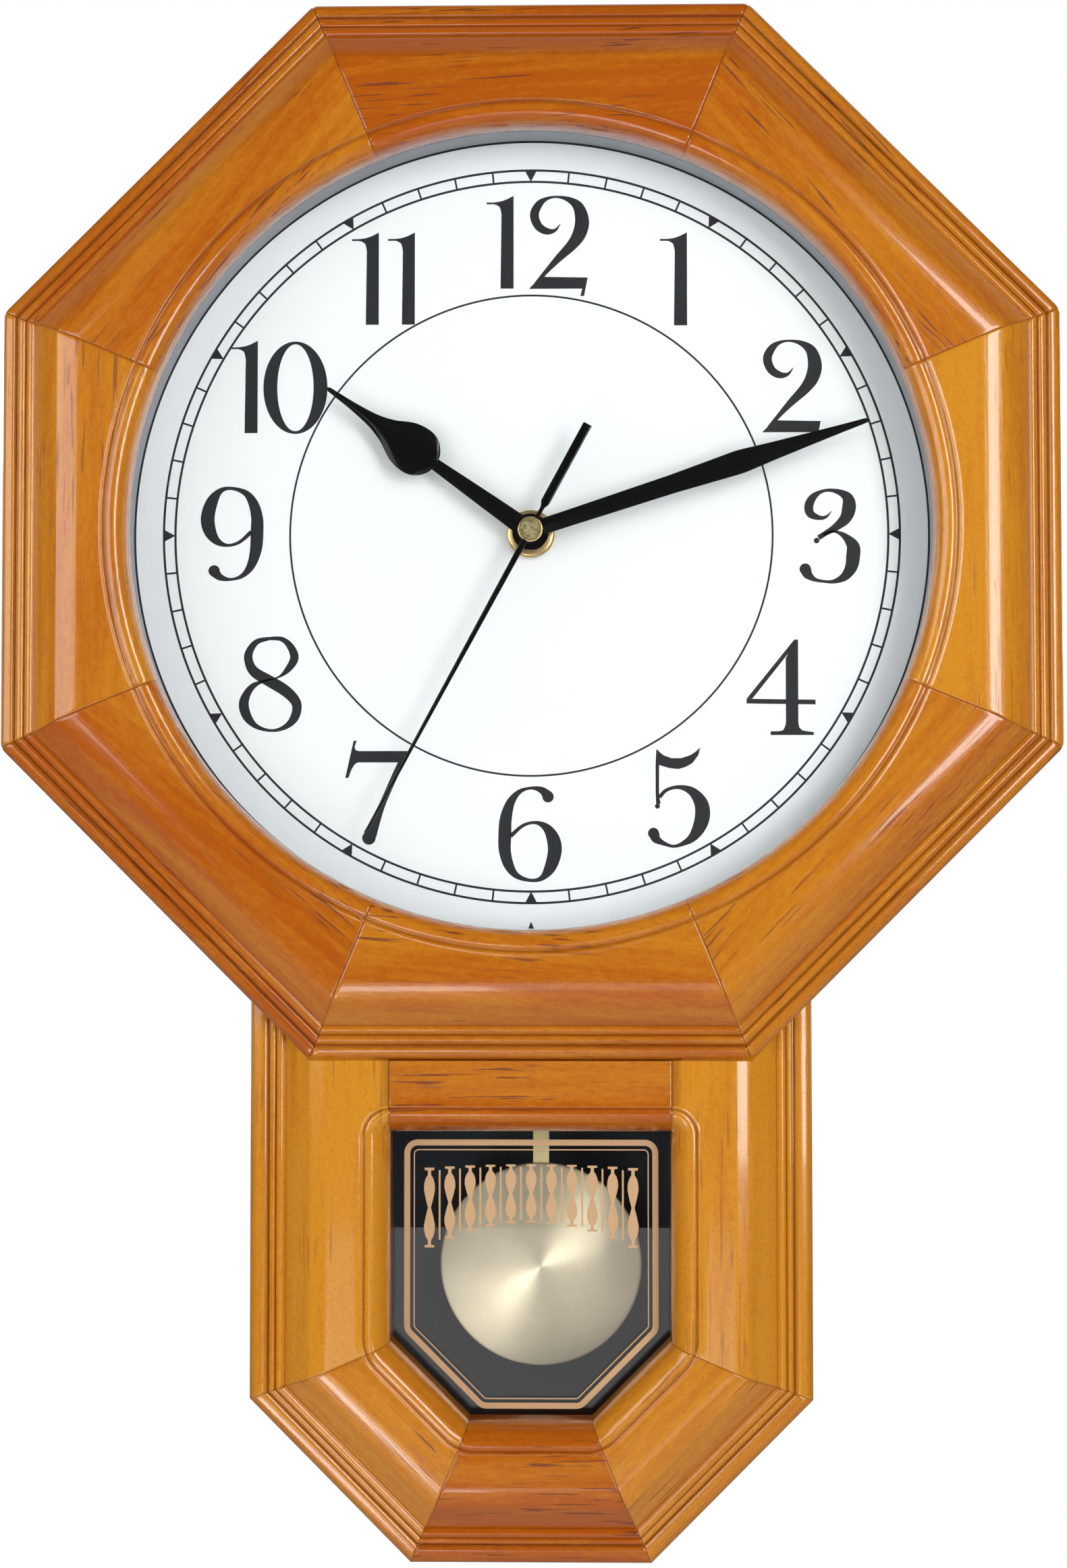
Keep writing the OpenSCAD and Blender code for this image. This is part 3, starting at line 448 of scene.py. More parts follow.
# the window's bead as (share of its width, height, darkening), from its groove to the glass
beadRows = [(-.16, 17.85, .04), (-.12, 18.02, .05), (-.08, 18.05, .06), (-.045, 17.9, .25),
            (-.015, 17.55, .75), (.015, 17.4, .75), (.045, 17.6, .35), (.10, 17.8, .08),
            (.27, 17.85, .04), (.38, 17.55, .04), (.50, 16.95, .04), (.62, 16.1, .06),
            (.74, 15.0, .08), (.85, 13.7, .14), (.94, 12.3, .22), (1, 10.9, .3)]


def dropFlat(s):
    # the flat's height, which falls evenly towards the bead
    return drop["crest"] - 0.08 - 1.12 * np.clip((s - drop["flatFrom"]) / 11.7, 0, 1)


def dropRail(node, index, tone, turn, ends, s, rows, bead, wall, step, start=None):
    # moulding and flat rows, bead rows, then the wall and the step that holds the glass
    section = np.array(dropSection()) if start is None else start
    beadRow = np.array(beadRows)
    x, z = (np.vstack([rows[k], bead[k], wall[k], wall[k], step[k], step[k]]) for k in range(2))
    height = np.vstack([section[:, 1:2] + 0 * x[:len(section)], dropFlat(s[len(section):]),
                        beadRow[:, 1:2] + 0 * bead[0],
                        np.array([8.0, 2.0, 2.0, 0.0])[:, None] + 0 * x[-4:]])
    stain = np.concatenate([section[:, 2], np.zeros(len(s) - len(section)), beadRow[:, 2],
                            [.35, .5, .5, .5]])[:, None]
    distance = np.full(x.shape, 50.0)
    for (px, pz), (qx, qz) in ends:
        away = np.abs((qx - px) * (z - pz) - (qz - pz) * (x - px)) / math.hypot(qx - px, qz - pz)
        distance = np.minimum(distance, away)
    across = x * math.cos(turn) + z * math.sin(turn)
    along = -x * math.sin(turn) + z * math.cos(turn)
    return woodRail(drop, node, "_wood", index, tone, x, z, height, stain, distance, height > 9,
                    (along, across))


def endShares(count):
    # shares along a rail with closely set columns at both ends
    ends = np.array([0, .0015, .004, .009])
    return np.concatenate([ends, np.linspace(.016, .984, count), 1 - ends[::-1]])


def mitredRail(node, cornerA, cornerB, turn, index, tone):
    # every row runs parallel to the outer edge between the mitre lines of its two corners
    d, share = drop, endShares(31)[None, :]
    section, bead = np.array(dropSection())[:, 0:1], np.array(beadRows)[:, 0:1]

    def at(s):
        (startX, startZ), (endX, endZ) = cornerA(s), cornerB(s)
        return startX + (endX - startX) * share, startZ + (endZ - startZ) * share

    grooveAt = d["railWidth"] - d["beadWidth"]
    gx, gz = at(grooveAt)
    length = np.hypot(gx[0, -1] - gx[0, 0], gz[0, -1] - gz[0, 0])
    groove = grooveAt + cornerTrim(share * length, d["cornerRound"]) \
        + cornerTrim((1 - share) * length, d["cornerRound"])
    flat = d["flatFrom"] + (groove - d["beadRim"] - d["flatFrom"]) * np.linspace(0, 1, 7)[1:, None]
    s = np.vstack([section + 0 * share, flat])
    sBead = groove + np.where(bead < 0, d["beadWidth"], d["railWidth"] - groove) * bead
    ends = [(corner(0), corner(d["railWidth"])) for corner in (cornerA, cornerB)]
    return dropRail(node, index, tone, turn, ends, s, at(s), at(sBead), at(d["railWidth"]),
                    at(d["railWidth"] - d["glassStep"]))


def stile(node, side, index, tone):
    # three zones of columns: up to the bead's top corner, round that corner, and above the window
    d, section, bead = drop, np.array(dropSection()), np.array(beadRows)[:, 0:1]
    halfWidth, inX = d["halfWidth"], d["halfWidth"] - d["railWidth"]
    low, mid, grooveX = -d["roundFrom"], -d["roundTo"], inX + d["beadWidth"]
    mitreZ = lambda x: sideCorner(halfWidth - x)[1]
    up = endShares(36)[:40]
    up = up / up[-1]
    lower = cornerTrim(up * (low - mitreZ(grooveX)), d["cornerRound"])
    alpha = np.radians(np.linspace(0, 86.4, 15))[1:]
    above = np.zeros(10)
    innerX = np.concatenate([grooveX - lower, grooveX + d["topRound"] * (np.cos(alpha) - 1),
                             inX + above])
    zones = np.concatenate([0 * up, 1 + 0 * alpha, 2 + above])
    share = np.concatenate([up, alpha / alpha[-1], np.linspace(0, 1, 10)])
    roundZ = np.concatenate([0 * up, low + d["topRound"] * np.sin(alpha), above])
    innerTop = roundZ[len(up) + len(alpha) - 1]

    def heightAt(x):
        # even steps along the rail in each zone, between the lines that bound the zone
        top = np.clip(x - d["shoulder"], 0, None) - d["top"]
        first = mitreZ(x) + (low - mitreZ(x)) * share
        outer = low + (mid - low) * share
        second = outer + (roundZ - outer) * (halfWidth - x) / (halfWidth - innerX)
        lowLine = mid + (innerTop - mid) * (halfWidth - x) / d["railWidth"]
        third = lowLine + (top - lowLine) * share
        return np.where(zones == 0, first, np.where(zones == 1, second, third))

    rimX = np.where(zones == 2, innerX, innerX + d["beadRim"])
    flatX = halfWidth - d["flatFrom"]
    x = np.vstack([halfWidth - section[:, 0:1] + 0 * share,
                   flatX + (rimX - flatX) * np.linspace(0, 1, 7)[1:, None]])
    z = heightAt(x)
    grooveZ = heightAt(innerX[None])[0]
    wallX, stepX = inX + 0 * share, inX + d["glassStep"] + 0 * share
    wallZ = np.where(zones == 2, grooveZ, np.minimum(heightAt(wallX[None])[0], -d["windowTop"]))
    stepZ = np.where(zones == 0, heightAt(stepX[None])[0], wallZ)
    # the bead's rows before its groove lie square to it, and the others run on to the wall
    outX = np.concatenate([1 + 0 * up, np.cos(alpha), above])
    outZ = np.concatenate([0 * up, np.sin(alpha), above])
    beadX = innerX + bead * np.where(bead < 0, -d["beadWidth"] * outX, wallX - innerX)
    beadZ = grooveZ + bead * np.where(bead < 0, -d["beadWidth"] * outZ, wallZ - grooveZ)
    beadZ = np.where((zones == 0) & (bead < 0), heightAt(beadX), beadZ)
    ends = [(sideCorner(0), sideCorner(d["railWidth"])), ((inX, -d["top"]), (inX, -d["windowTop"]))]
    ends = [((side * px, pz), (side * qx, qz)) for (px, pz), (qx, qz) in ends]
    return dropRail(node, index, tone, 0.0, ends, halfWidth - x, (side * x, z),
                    (side * beadX, beadZ), (side * wallX, wallZ), (side * stepX, stepZ))


def topRail(index, tone):
    # rows run straight across between the stiles, from the joint under the octagon to the window
    d = drop
    inX = d["halfWidth"] - d["railWidth"]
    x = (-inX + 2 * inX * endShares(31))[None, :]
    levels = np.array([[-d["top"], 0, .6], [-d["top"], 10, .6], [-d["top"], 17.8, .8]])
    flatZ = np.linspace(-d["top"] - 0.3, -d["windowTop"] + d["beadWidth"] + d["beadRim"], 7)
    z = np.concatenate([levels[:, 0], flatZ])[:, None] + 0 * x
    beadZ = -d["windowTop"] + d["beadWidth"] * (1 - np.array(beadRows)[:, 0:1]) + 0 * x
    wallZ = -d["windowTop"] + 0 * x
    ends = [((k * inX, -d["top"]), (k * inX, -d["windowTop"])) for k in (1, -1)]
    return dropRail("drop_top_rail", index, tone, 2 * eighth, ends, np.full(z.shape, 36.0),
                    (x + 0 * z, z), (x + 0 * beadZ, beadZ), (x, wallZ), (x, wallZ + d["glassStep"]),
                    start=levels)


def mirrored(corner):
    # the same corner on the left
    return lambda e: (-corner(e)[0], corner(e)[1])


# the last number of each rail is its tone, partly the wood's own and partly painted light and shade
stile("drop_right_stile", 1, 8, 0.02)
stile("drop_left_stile", -1, 9, 0.16)
mitredRail("drop_right_diagonal", sideCorner, footCorner, -eighth, 10, 0.40)
mitredRail("drop_left_diagonal", mirrored(footCorner), mirrored(sideCorner), eighth, 11, 0.46)
mitredRail("drop_bottom_rail", footCorner, mirrored(footCorner), -2 * eighth, 13, 0.93)
topRail(12, 0.80)
print("drop frame done")

# Dial

# the edge shadow line is a painted shadow where the ring meets the dial; the other circles are
# print
dial = dict(
    radius=126.8, back=65.0, front=66.0, boss=4.1, ink=0.03, paneBack=80.0, paneFront=82.0,
    thinCircle=(75.2, 0.6), trackIn=(111.1, 0.7), trackOut=(114.7, 0.7), edgeShadowLine=(123.8, 0.8),
    bar=0.58, wedge=1.9,
)


def discProfile(hole, radius, low, high, edge):
    # a flat disc with its rim's two corners cut off
    return [(hole, low), (radius - edge, low), (radius, low + edge), (radius, high - edge),
            (radius - edge, high), (hole, high)]


def dialMaterial():
    shader = Shader("white_dial")
    paper, cloud = shader.noise(900, 3), shader.noise(9, 1)
    tint = shader.mix((0.83, 0.86, 0.865), (0.85, 0.88, 0.885), cloud.between(0.35, 0.65))
    return shader.surface(baseColor=tint, roughness=0.5 + (paper - 0.5) * 0.1, ior=1.45,
                          normal=shader.bump(paper, 0.00001))


# black for the print, and for the painted shadow line round the dial's edge
def inkAndEdgeShadowMaterial():
    shader = Shader("black_print_and_edge_shadow")
    grit = shader.noise(2200)
    return shader.surface(
        baseColor=shader.mix((0.006, 0.0065, 0.009), (0.014, 0.015, 0.018), grit),
        specularIorLevel=0.3, roughness=0.6 + (grit - 0.5) * 0.2)


Solid().turned(discProfile(dial["boss"], dial["radius"], dial["back"], dial["front"], 0.2),
               256).piece("dial_sheet", dialMaterial(), "white_dial", stands=("dial_plate",))

# Numerals in hundredths of the figure's height: strokes are (x, y, width) along their middle,
# shapes are outlines, balls are (x, y, radius), rings are a centre and two ellipses' half widths
numerals = {
    "0": dict(
        rings=[((0, 50), (34.5, 50), (19.5, 47))]),
    "1": dict(
        shapes=[[(0, 0), (14, 0), (14, 100), (10, 98), (6, 96), (0, 94), (-7, 93), (-15, 93),
                 (-15, 91), (-7, 91), (-4, 90), (-1, 88), (0, 85), (1, 80)]]),
    "2": dict(
        strokes=[[(1, 70, 0.5), (-5, 63, 3.5), (-14, 62, 7.5), (-23, 68, 9), (-27, 80, 9.5),
                  (-22, 91, 8), (-14, 97, 4), (-3, 99, 2.5), (10, 96, 6), (20, 88, 11.5),
                  (24, 73, 15), (21, 59, 14.5), (13, 47, 11.5), (-1, 33, 8), (-14, 19, 5),
                  (-26, 5, 3.5)]],
        shapes=[[(-33, 0), (-20, 13), (30, 12), (26, -8), (22, -8), (24, 0)]]),
    "3": dict(
        strokes=[[(2, 76, 0.5), (-4, 70, 3), (-11, 69, 5), (-20, 73, 8.5), (-22, 81, 9.5),
                  (-18, 90, 8), (-10, 96, 4), (0, 98, 3.5), (12, 95, 7), (19, 89, 12),
                  (20, 79, 14.5), (16, 68, 12), (6, 59, 8), (-4, 53, 5.5), (-12, 48, 5.5)],
                 [(-7, 51, 2.5), (-1, 54, 2.5), (7, 54, 3), (16, 49, 7), (24, 39, 13.5),
                  (24, 28, 14.5), (22, 17, 13), (15, 7, 9), (4, 2, 4.5), (-6, 2, 3),
                  (-16, 4, 4.5), (-23, 9, 9.5), (-25, 13, 11.5)]],
        balls=[(-14, 45, 3), (-26, 15, 6)]),
    "4": dict(
        shapes=[[(-36, 38), (14, 100), (16, 97), (5, 82), (-30, 38)],
                [(-36, 38), (36, 37), (36, 32), (-36, 33)],
                [(5, 80), (14, 100), (18, 100), (18, 13), (19, 8), (22, 5), (27, 4), (34, 3),
                 (34, 0), (-11, 0), (-11, 4), (-3, 4), (2, 5), (4, 9), (5, 13)]]),
    "5": dict(
        strokes=[[(-18, 43, 4.5), (-19, 54, 3.5), (-19, 69, 3.5), (-19, 83, 3.5), (-19, 97, 2)],
                 [(-17, 50, 4), (-10, 57, 3.5), (2, 60, 4), (15, 56, 8.5), (24, 45, 13.5),
                  (26, 33, 15), (23, 21, 13.5), (16, 10, 9), (7, 4, 5), (-3, 1, 3),
                  (-13, 4, 4.5), (-20, 8, 8.5), (-22, 12, 10.5)]],
        shapes=[[(-20, 98), (-13, 92), (-5, 89), (5, 89), (14, 92), (20, 96), (24, 100),
                 (22, 92), (16, 84), (9, 80), (2, 78), (-7, 79), (-17, 82), (-20, 82)]],
        balls=[(-19, 41, 2.5), (-23, 14, 5.5)]),
    "6": dict(
        strokes=[[(19, 90, 11), (12, 96, 7), (1, 98, 3), (-11, 94, 5), (-20, 83, 9),
                  (-25, 66, 12.5), (-26, 48, 13.5), (-26, 33, 12.5), (-22, 18, 10.5),
                  (-14, 7, 6.5), (0, 2, 3.5), (12, 4, 5.5), (21, 15, 12), (26, 32, 14.5),
                  (24, 46, 13.5), (17, 57, 8.5), (6, 62, 3.5), (-7, 59, 3.5), (-20, 48, 4.5)]],
        balls=[(19, 89, 6)]),
    "7": dict(
        strokes=[[(31, 87, 6), (21, 66, 6), (10, 41, 6), (3, 24, 9), (-3, 9, 13)]],
        shapes=[[(-19, 100), (-16, 100), (-18, 94), (-17, 91), (-14, 90), (34, 90), (30, 79),
                 (-15, 79), (-18, 77), (-21, 72), (-24, 64), (-27, 64)]],
        balls=[(-4, 6, 6.5)]),
    "8": dict(
        strokes=[[(-1, 98, 3.5), (-15, 94, 6), (-23, 82, 8.5), (-22, 71, 9.5), (-16, 62, 11),
                  (-1, 53, 12), (14, 44, 12), (24, 35, 11), (28, 26, 10), (25, 14, 9),
                  (16, 5, 5.5), (2, 1, 3), (-14, 5, 5), (-24, 15, 9.5), (-28, 28, 10.5),
                  (-25, 39, 8.5), (-18, 48, 6), (-7, 53, 2.5), (8, 57, 2), (18, 65, 6.5),
                  (25, 77, 9), (21, 89, 7.5), (12, 97, 5), (-1, 98, 3.5)]]),
}
# figure, x and z of its foot, height, turned upside down or not
figures = [("1", -9.5, 77.4, 29.3, 0), ("2", 9.0, 77.3, 29.3, 0), ("1", 44.7, 65.6, 29.3, 0),
           ("2", 81.6, 31.9, 29.0, 0), ("3", 93.0, -15.4, 29.7, 0),
           ("4", 77.6, -62.6, 29.7, 0), ("5", 45.1, -97.4, 31.1, 0),
           ("6", -0.4, -108.2, 29.8, 0), ("7", -49.1, -96.4, 32.2, 0),
           ("8", -81.2, -61.3, 29.7, 0), ("6", -93.3, -14.3, 29.7, 1),
           ("1", -89.6, 32.2, 29.1, 0), ("0", -73.7, 31.9, 29.1, 0),
           ("1", -51.7, 66.2, 29.1, 0), ("1", -40.4, 66.2, 29.1, 0)]


def inkStroke(solid, points, low, high):
    # a strip that keeps its given width square to its middle line
    line = smoothLine(points, 7)
    way = np.gradient(line[:, :2], axis=0)
    way /= np.linalg.norm(way, axis=1)[:, None]
    half = line[:, 2:3] / 2 * np.stack([-way[:, 1], way[:, 0]], -1)
    solid.band((line[:, :2] + half).T, (line[:, :2] - half).T, low, high)


def inkRing(solid, centre, outer, inner, low, high, segments):
    # a flat ring between two ellipses, each given by its two half widths
    angle = np.arange(segments) * 2 * math.pi / segments
    turn = np.stack([np.cos(angle), np.sin(angle)])
    lines = [np.array(centre)[:, None] + np.array(half)[:, None] * turn for half in (outer, inner)]
    solid.band(*lines, low, high, True)


def dialPrintAndEdgeShadow():
    # every figure is drawn at its place, then the printed circles and a painted shadow line round
    # the dial's edge where the ring meets it, the minute bars, the hours' wedges and the mark under
    # the six; shapes that cross end at slightly different heights
    d, ink = dial, Solid()
    base = d["front"] - 0.005
    top = lambda k: d["front"] + d["ink"] + 0.003 * k
    for name, x, z, height, upsideDown in figures:
        scale, sign = height / 100, -1 if upsideDown else 1
        footZ = z + (height if upsideDown else 0)
        move = lambda p: (x + sign * p[0] * scale, footZ + sign * p[1] * scale)
        figure = numerals[name]
        for stroke in figure.get("strokes", []):
            inkStroke(ink, [(*move(p), p[2] * scale) for p in stroke], base, top(0))
        for k, shape in enumerate(figure.get("shapes", [])):
            ink.prism([move(p) for p in shape], base, top(1 + k))
        for *p, radius in figure.get("balls", []):
            ink.prism(arc(*move(p), radius * scale, 0, 352, 45), base, top(4))
        for middle, *halves in figure.get("rings", []):
            inkRing(ink, move(middle), *(np.array(half) * scale for half in halves), base, top(0),
                    96)
    # the last of these circles, at the dial's edge under the ring's foot, is a painted shadow line
    # and not print
    for radius, width in [d["thinCircle"], d["trackIn"], d["trackOut"], d["edgeShadowLine"]]:
        inkRing(ink, (0, 0), [radius + width / 2] * 2, [radius - width / 2] * 2, base, top(2), 360)
    near, far, half = d["trackIn"][0], d["trackOut"][0], d["bar"] / 2
    for minute in range(60):
        if minute % 5:
            ends = [(near, -half), (far, -half), (far, half), (near, half)]
        else:
            ends = [(near, 0), (far, -d["wedge"]), (far, d["wedge"])]
        c, s = math.cos(math.radians(6 * minute)), math.sin(math.radians(6 * minute))
        ink.prism([(r * s + t * c, r * c - t * s) for r, t in ends], base, top(3))
    ink.prism([(-0.9, -122.6), (0, -120.4), (0.9, -122.6)], base, top(1))
    return ink.piece("dial_print_and_edge_shadow", inkAndEdgeShadowMaterial(), "black_hand", flats=30)


dialPrintAndEdgeShadow()
print("dial done")


def plasticMaterial(name, low, high, roughness, relief=0.00002, scale=1400, gloss=0.5):
    shader = Shader(name)
    grit, cloud = shader.noise(scale), shader.noise(40)
    return shader.surface(
        baseColor=shader.mix(low, high, cloud), ior=1.46, specularIorLevel=gloss,
        roughness=roughness + (grit - 0.5) * 0.12, normal=shader.bump(grit, relief))


# the ring between the dial and the wood leans outwards from its lip to the dial
Solid().turned([(126.8, 66.0), (126.8, 79.8), (126.6, 80.0), (122.9, 80.0), (122.6, 79.7),
                (124.0, 66.2), (124.2, 66.0)], 256).piece(
    "spacer_band", plasticMaterial("grey_plastic", (0.30, 0.315, 0.34), (0.32, 0.335, 0.36), 0.6,
                                   gloss=0.12), "grey_plastic", stands=("spacer_ring",))

# Hands

hands = dict(
    hourAngle=305.5, minuteAngle=71.9, secondAngle=208.5, hourBack=72.0, minuteBack=74.9,
    secondBack=77.1, hourReach=77.4, minuteReach=109.6, thick=1.2, thin=0.6,
)


def handMaterial():
    shader = Shader("black_hand")
    peel, dust = shader.noise(1100), shader.noise(5200, 1)
    return shader.surface(
        baseColor=shader.mix((0.0008, 0.0008, 0.001), (0.012, 0.012, 0.012),
                             dust.between(0.76, 0.82)),
        specularIorLevel=0.3, roughness=0.11 + (peel - 0.5) * 0.08, ior=1.5,
        normal=shader.bump(peel, 0.000008))


blackHand = handMaterial()


def bladeRows(solid, stations, turn, back, thick, crown, sharpRidge=False):
    # half widths at stations along the hand; across it the top is crowned, or folded to a ridge
    line = np.array(stations, float)
    y, w = line[:, 0][None, :], line[:, 1][None, :]
    across = np.array([-1, -1, -.9, -.6, -.3, 0, .3, .6, .9, 1, 1])[:, None]
    bend = np.abs(across) if sharpRidge else across ** 2
    top = thick - crown * bend - 0.12 * (np.abs(across) == 1)
    height = np.where(np.arange(11)[:, None] % 10 == 0, 0, top) + 0 * y
    c, s = math.cos(math.radians(turn)), math.sin(math.radians(turn))
    x0, z0 = across * w, y + 0 * across
    solid.sweep(x0 * c + z0 * s, -x0 * s + z0 * c, back + height)


def hand(name, arbor, angle, back, thick, hub, blades, flats=40):
    # blades of (turn, half widths, crown, ridge), and round the centre a washer of (inner radius,
    # outer radius, thickness) with a small cut at its front edge
    solid = Solid()
    for turn, stations, *crown in blades:
        bladeRows(solid, stations, angle + turn, back, thick, *crown)
    inner, outer, top = hub
    solid.turned([(inner, back), (outer, back), (outer, back + top - .2),
                  (outer - .2, back + top), (inner, back + top)], 96)
    return solid.piece(name + "_blade", blackHand, "black_hand", arbor, (name,), flats=flats)


def hourStations(reach):
    # a waisted stem, then a teardrop whose rounded base is a circle and which tapers in a soft
    # hollow curve, as shares of the reach with half widths
    centre, radius = 0.565, 7.7
    line = [(0.0, 2.9), (0.07, 2.9), (0.2, 2.6), (0.35, 2.2), (0.468, 1.85), (0.472, 2.0)]
    line += [(centre - radius / reach * math.cos(a), radius * math.sin(a))
             for a in np.linspace(0.30, 1.45, 12)]
    line += [*smoothLine([(0.565, 7.72), (0.595, 7.55), (0.63, 6.9), (0.665, 5.6), (0.70, 4.1),
                          (0.75, 2.75), (0.80, 1.95), (0.88, 1.25), (0.95, 0.9),
                          (0.992, 0.7)], 4), (1.0, 0.3)]
    return [(y * reach, w) for y, w in line]


def minuteStations(reach):
    # a slender spear, widest past its middle
    line = [(0.0, 2.5), (0.1, 2.5), (0.42, 2.9), (0.60, 3.62), (0.612, 3.66), (0.63, 3.6),
            (0.72, 2.75), (0.82, 1.95), (0.92, 1.2), (0.985, 0.8), (0.996, 0.6), (1.0, 0.25)]
    return [(y * reach, w) for y, w in line]


needle = [(0, 1.0), (3, 0.95), (45, 0.72), (90, 0.5), (103.5, 0.42), (104.8, 0.3)]
tail = [(0, 0.8), (4, 0.66), (7.6, 0.62), (8.3, 0.8), (9.3, 1.32), (9.6, 1.4), (36.7, 1.42),
        (37.0, 1.38)]
hand("hour_hand", "hour_arbor", hands["hourAngle"], hands["hourBack"], hands["thick"],
     (2.65, 5.7, 1.0), [(0, hourStations(hands["hourReach"]), 0.5)])
hand("minute_hand", "minute_arbor", hands["minuteAngle"], hands["minuteBack"], hands["thick"],
     (1.65, 4.2, 1.1), [(0, minuteStations(hands["minuteReach"]), 0.62, True)], flats=14)
hand("second_hand", "second_arbor", hands["secondAngle"], hands["secondBack"], hands["thin"],
     (0.62, 3.0, hands["thin"]), [(0, needle, 0.12), (180, tail, 0.08)])


def brassMaterial(name, colour, dark, roughness, patina=0.0, metal=1.0):
    shader = Shader(name)
    wear, lines = shader.noise(650, 4, 0.65), shader.noise((2500, 300, 2500))
    return shader.surface(
        baseColor=shader.mix(colour, dark, wear.between(0.42, 0.62) * (0.25 + patina)),
        metallic=metal, roughness=roughness + wear * 0.16,
        normal=shader.bump(lines + wear, 0.00001))


polishedBrass = brassMaterial("polished_brass", (0.82, 0.60, 0.27), (0.36, 0.26, 0.10), 0.16)


def nutAndCap():
    # both are turned; the cap's sunk middle is duller
    Solid().turned([(4.0, 66.8), (7.1, 66.8), (7.4, 67.1), (7.4, 68.7), (7.15, 69.0), (6.6, 69.2),
                    (4.4, 69.2), (4.0, 68.9)], 96).piece(
        "round_nut_turned", polishedBrass, "polished_brass", stands=("round_nut",))
    cap = Solid().turned([(0.62, 77.7), (3.8, 77.7), (3.8, 78.7), (3.68, 78.95), (3.45, 79.0),
                          (3.1, 79.0), (2.95, 78.82), (1.5, 78.8), (0.0, 78.79), (0.0, 78.2),
                          (0.62, 78.2)], 96).piece(
        "second_cap_turned", polishedBrass, "polished_brass", "second_arbor", ("second_cap",))
    cap.data.materials.append(brassMaterial("aged_brass", (0.52, 0.46, 0.24), (0.20, 0.18, 0.08),
                                            0.3, 0.7))
    for face in cap.data.polygons:
        x, y, z = face.center * 1000
        if math.hypot(x, z - dialHeight) < 2.96 and y < -78.6:
            face.material_index = 1


nutAndCap()
print("hands done")

# Pendulum

bob = dict(x=2.6, z=-231.5, radius=32.5, front=38.1, curve=1.6)


def bobMaterial():
    # spun brass: rings round the middle in roughness and relief, highlights spread along them
    shader = Shader("brushed_brass")
    shader.where = shader.node("ShaderNodeVectorMath", dict(operation="SUBTRACT"), {
        0: shader.place(), 1: (bob["x"] * .001, 0, (bob["z"] + dialHeight) * .001)})
    x, z = shader.parts(shader.where)[::2]
    radius = (x * x + z * z).math("SQRT")
    rings, wide = (shader.node("ShaderNodeTexNoise", dict(noise_dimensions="1D"), dict(
        W=radius * turns, Scale=1.0, Detail=detail)) for turns, detail in ((5200, 3.0), (700, 2.0)))
    tint = shader.mix((0.95, 0.86, 0.64), (0.86, 0.76, 0.53),
                      (rings * 0.5 + shader.noise(70, 3) * 0.5).between(0.35, 0.65))
    return shader.surface(
        baseColor=tint, metallic=0.84, roughness=0.51 + (wide - 0.5) * 0.12,
        anisotropic=0.9, anisotropicRotation=0.25, normal=shader.bump(rings, 0.000004),
        tangent=shader.node("ShaderNodeTangent", dict(direction_type="RADIAL", axis="Y")))


def pendulumBob():
    # a domed sheet whose height falls as the radius to a power, front and back, with a rolled rim
    b, r = bob, bob["radius"]
    dome = lambda low, rise, shares: [(r * s, low + rise * (1 - s ** b["curve"])) for s in shares]
    shell = [(0.0, b["front"])] + dome(33.0, b["front"] - 33.0, np.linspace(.04, .97, 34))
    shell += [(r - inset, depth) for inset, depth in [
        (0.5, 33.1), (0.15, 32.8), (0, 32.45), (0.1, 32.15), (0.4, 32.1), (0.7, 32.3)]]
    shell += dome(32.15, 5.0, np.linspace(.95, .04, 24)) + [(0.0, 37.2)]
    return Solid().turned(shell, 160, (b["x"], b["z"]), closed=False).piece(
        "pendulum_bob_spun", bobMaterial(), "brushed_brass", "pendulum", ("pendulum_bob",),
        flats=60)


pendulumBob()
print("pendulum done")

# Glass and print

def glassMaterial(name, tint):
    # clear glass that lets the lamps through
    shader = Shader(name)
    glass = shader.principled(baseColor=tint, roughness=shader.noise(14).between(0.6, 0.9) * 0.01,
                              ior=1.45, transmissionWeight=1.0)
    clear = shader.node("ShaderNodeBsdfTransparent", inputs={0: tint})
    shadow = shader.node("ShaderNodeLightPath", output="Is Shadow Ray")
    return shader.finish(shader.node("ShaderNodeMixShader", inputs={0: shadow, 1: glass,
                                                                    2: clear}))


clearGlass = glassMaterial("clear_glass", (0.985, 0.99, 0.99))
Solid().turned(discProfile(0, dial["radius"], dial["paneBack"], dial["paneFront"], 0.3), 256,
               closed=False).piece("dial_pane", clearGlass, "clear_glass",
                                   stands=("dial_glass",))

border = dict(halfWidth=39.2, top=-187.6, foot=-270.0, slant=285.5, band=1.85, gap=1.1,
              line=0.35, round=4.2, innerRound=1.6, back=66.98, front=67.03)


def borderOutline(inset, radius):
    # the window's outline moved inwards, each corner rounded by an arc that touches both sides
    b = border
    w, top, foot = b["halfWidth"] - inset, b["top"] - inset, b["foot"] + inset
    slant = b["slant"] - inset * math.sqrt(2)
    corners = np.array([(w, top), (w, w - slant), (slant + foot, foot), (-slant - foot, foot),
                        (-w, w - slant), (-w, top)])
    line = []
    for k, p in enumerate(corners):
        u, v = corners[k - 1] - p, corners[(k + 1) % 6] - p
        u, v = u / np.linalg.norm(u), v / np.linalg.norm(v)
        half = math.acos(float(np.dot(u, v))) / 2
        reach = radius / math.tan(half)
        centre = p + (u + v) / np.linalg.norm(u + v) * radius / math.sin(half)
        a0, a1 = (math.atan2(*(p + way * reach - centre)[::-1]) for way in (u, v))
        turn = (a1 - a0 + math.pi) % (2 * math.pi) - math.pi
        a = a0 + turn * np.linspace(0, 1, 13)
        line.append([centre[0] + radius * np.cos(a), centre[1] + radius * np.sin(a)])
    return np.hstack(line)


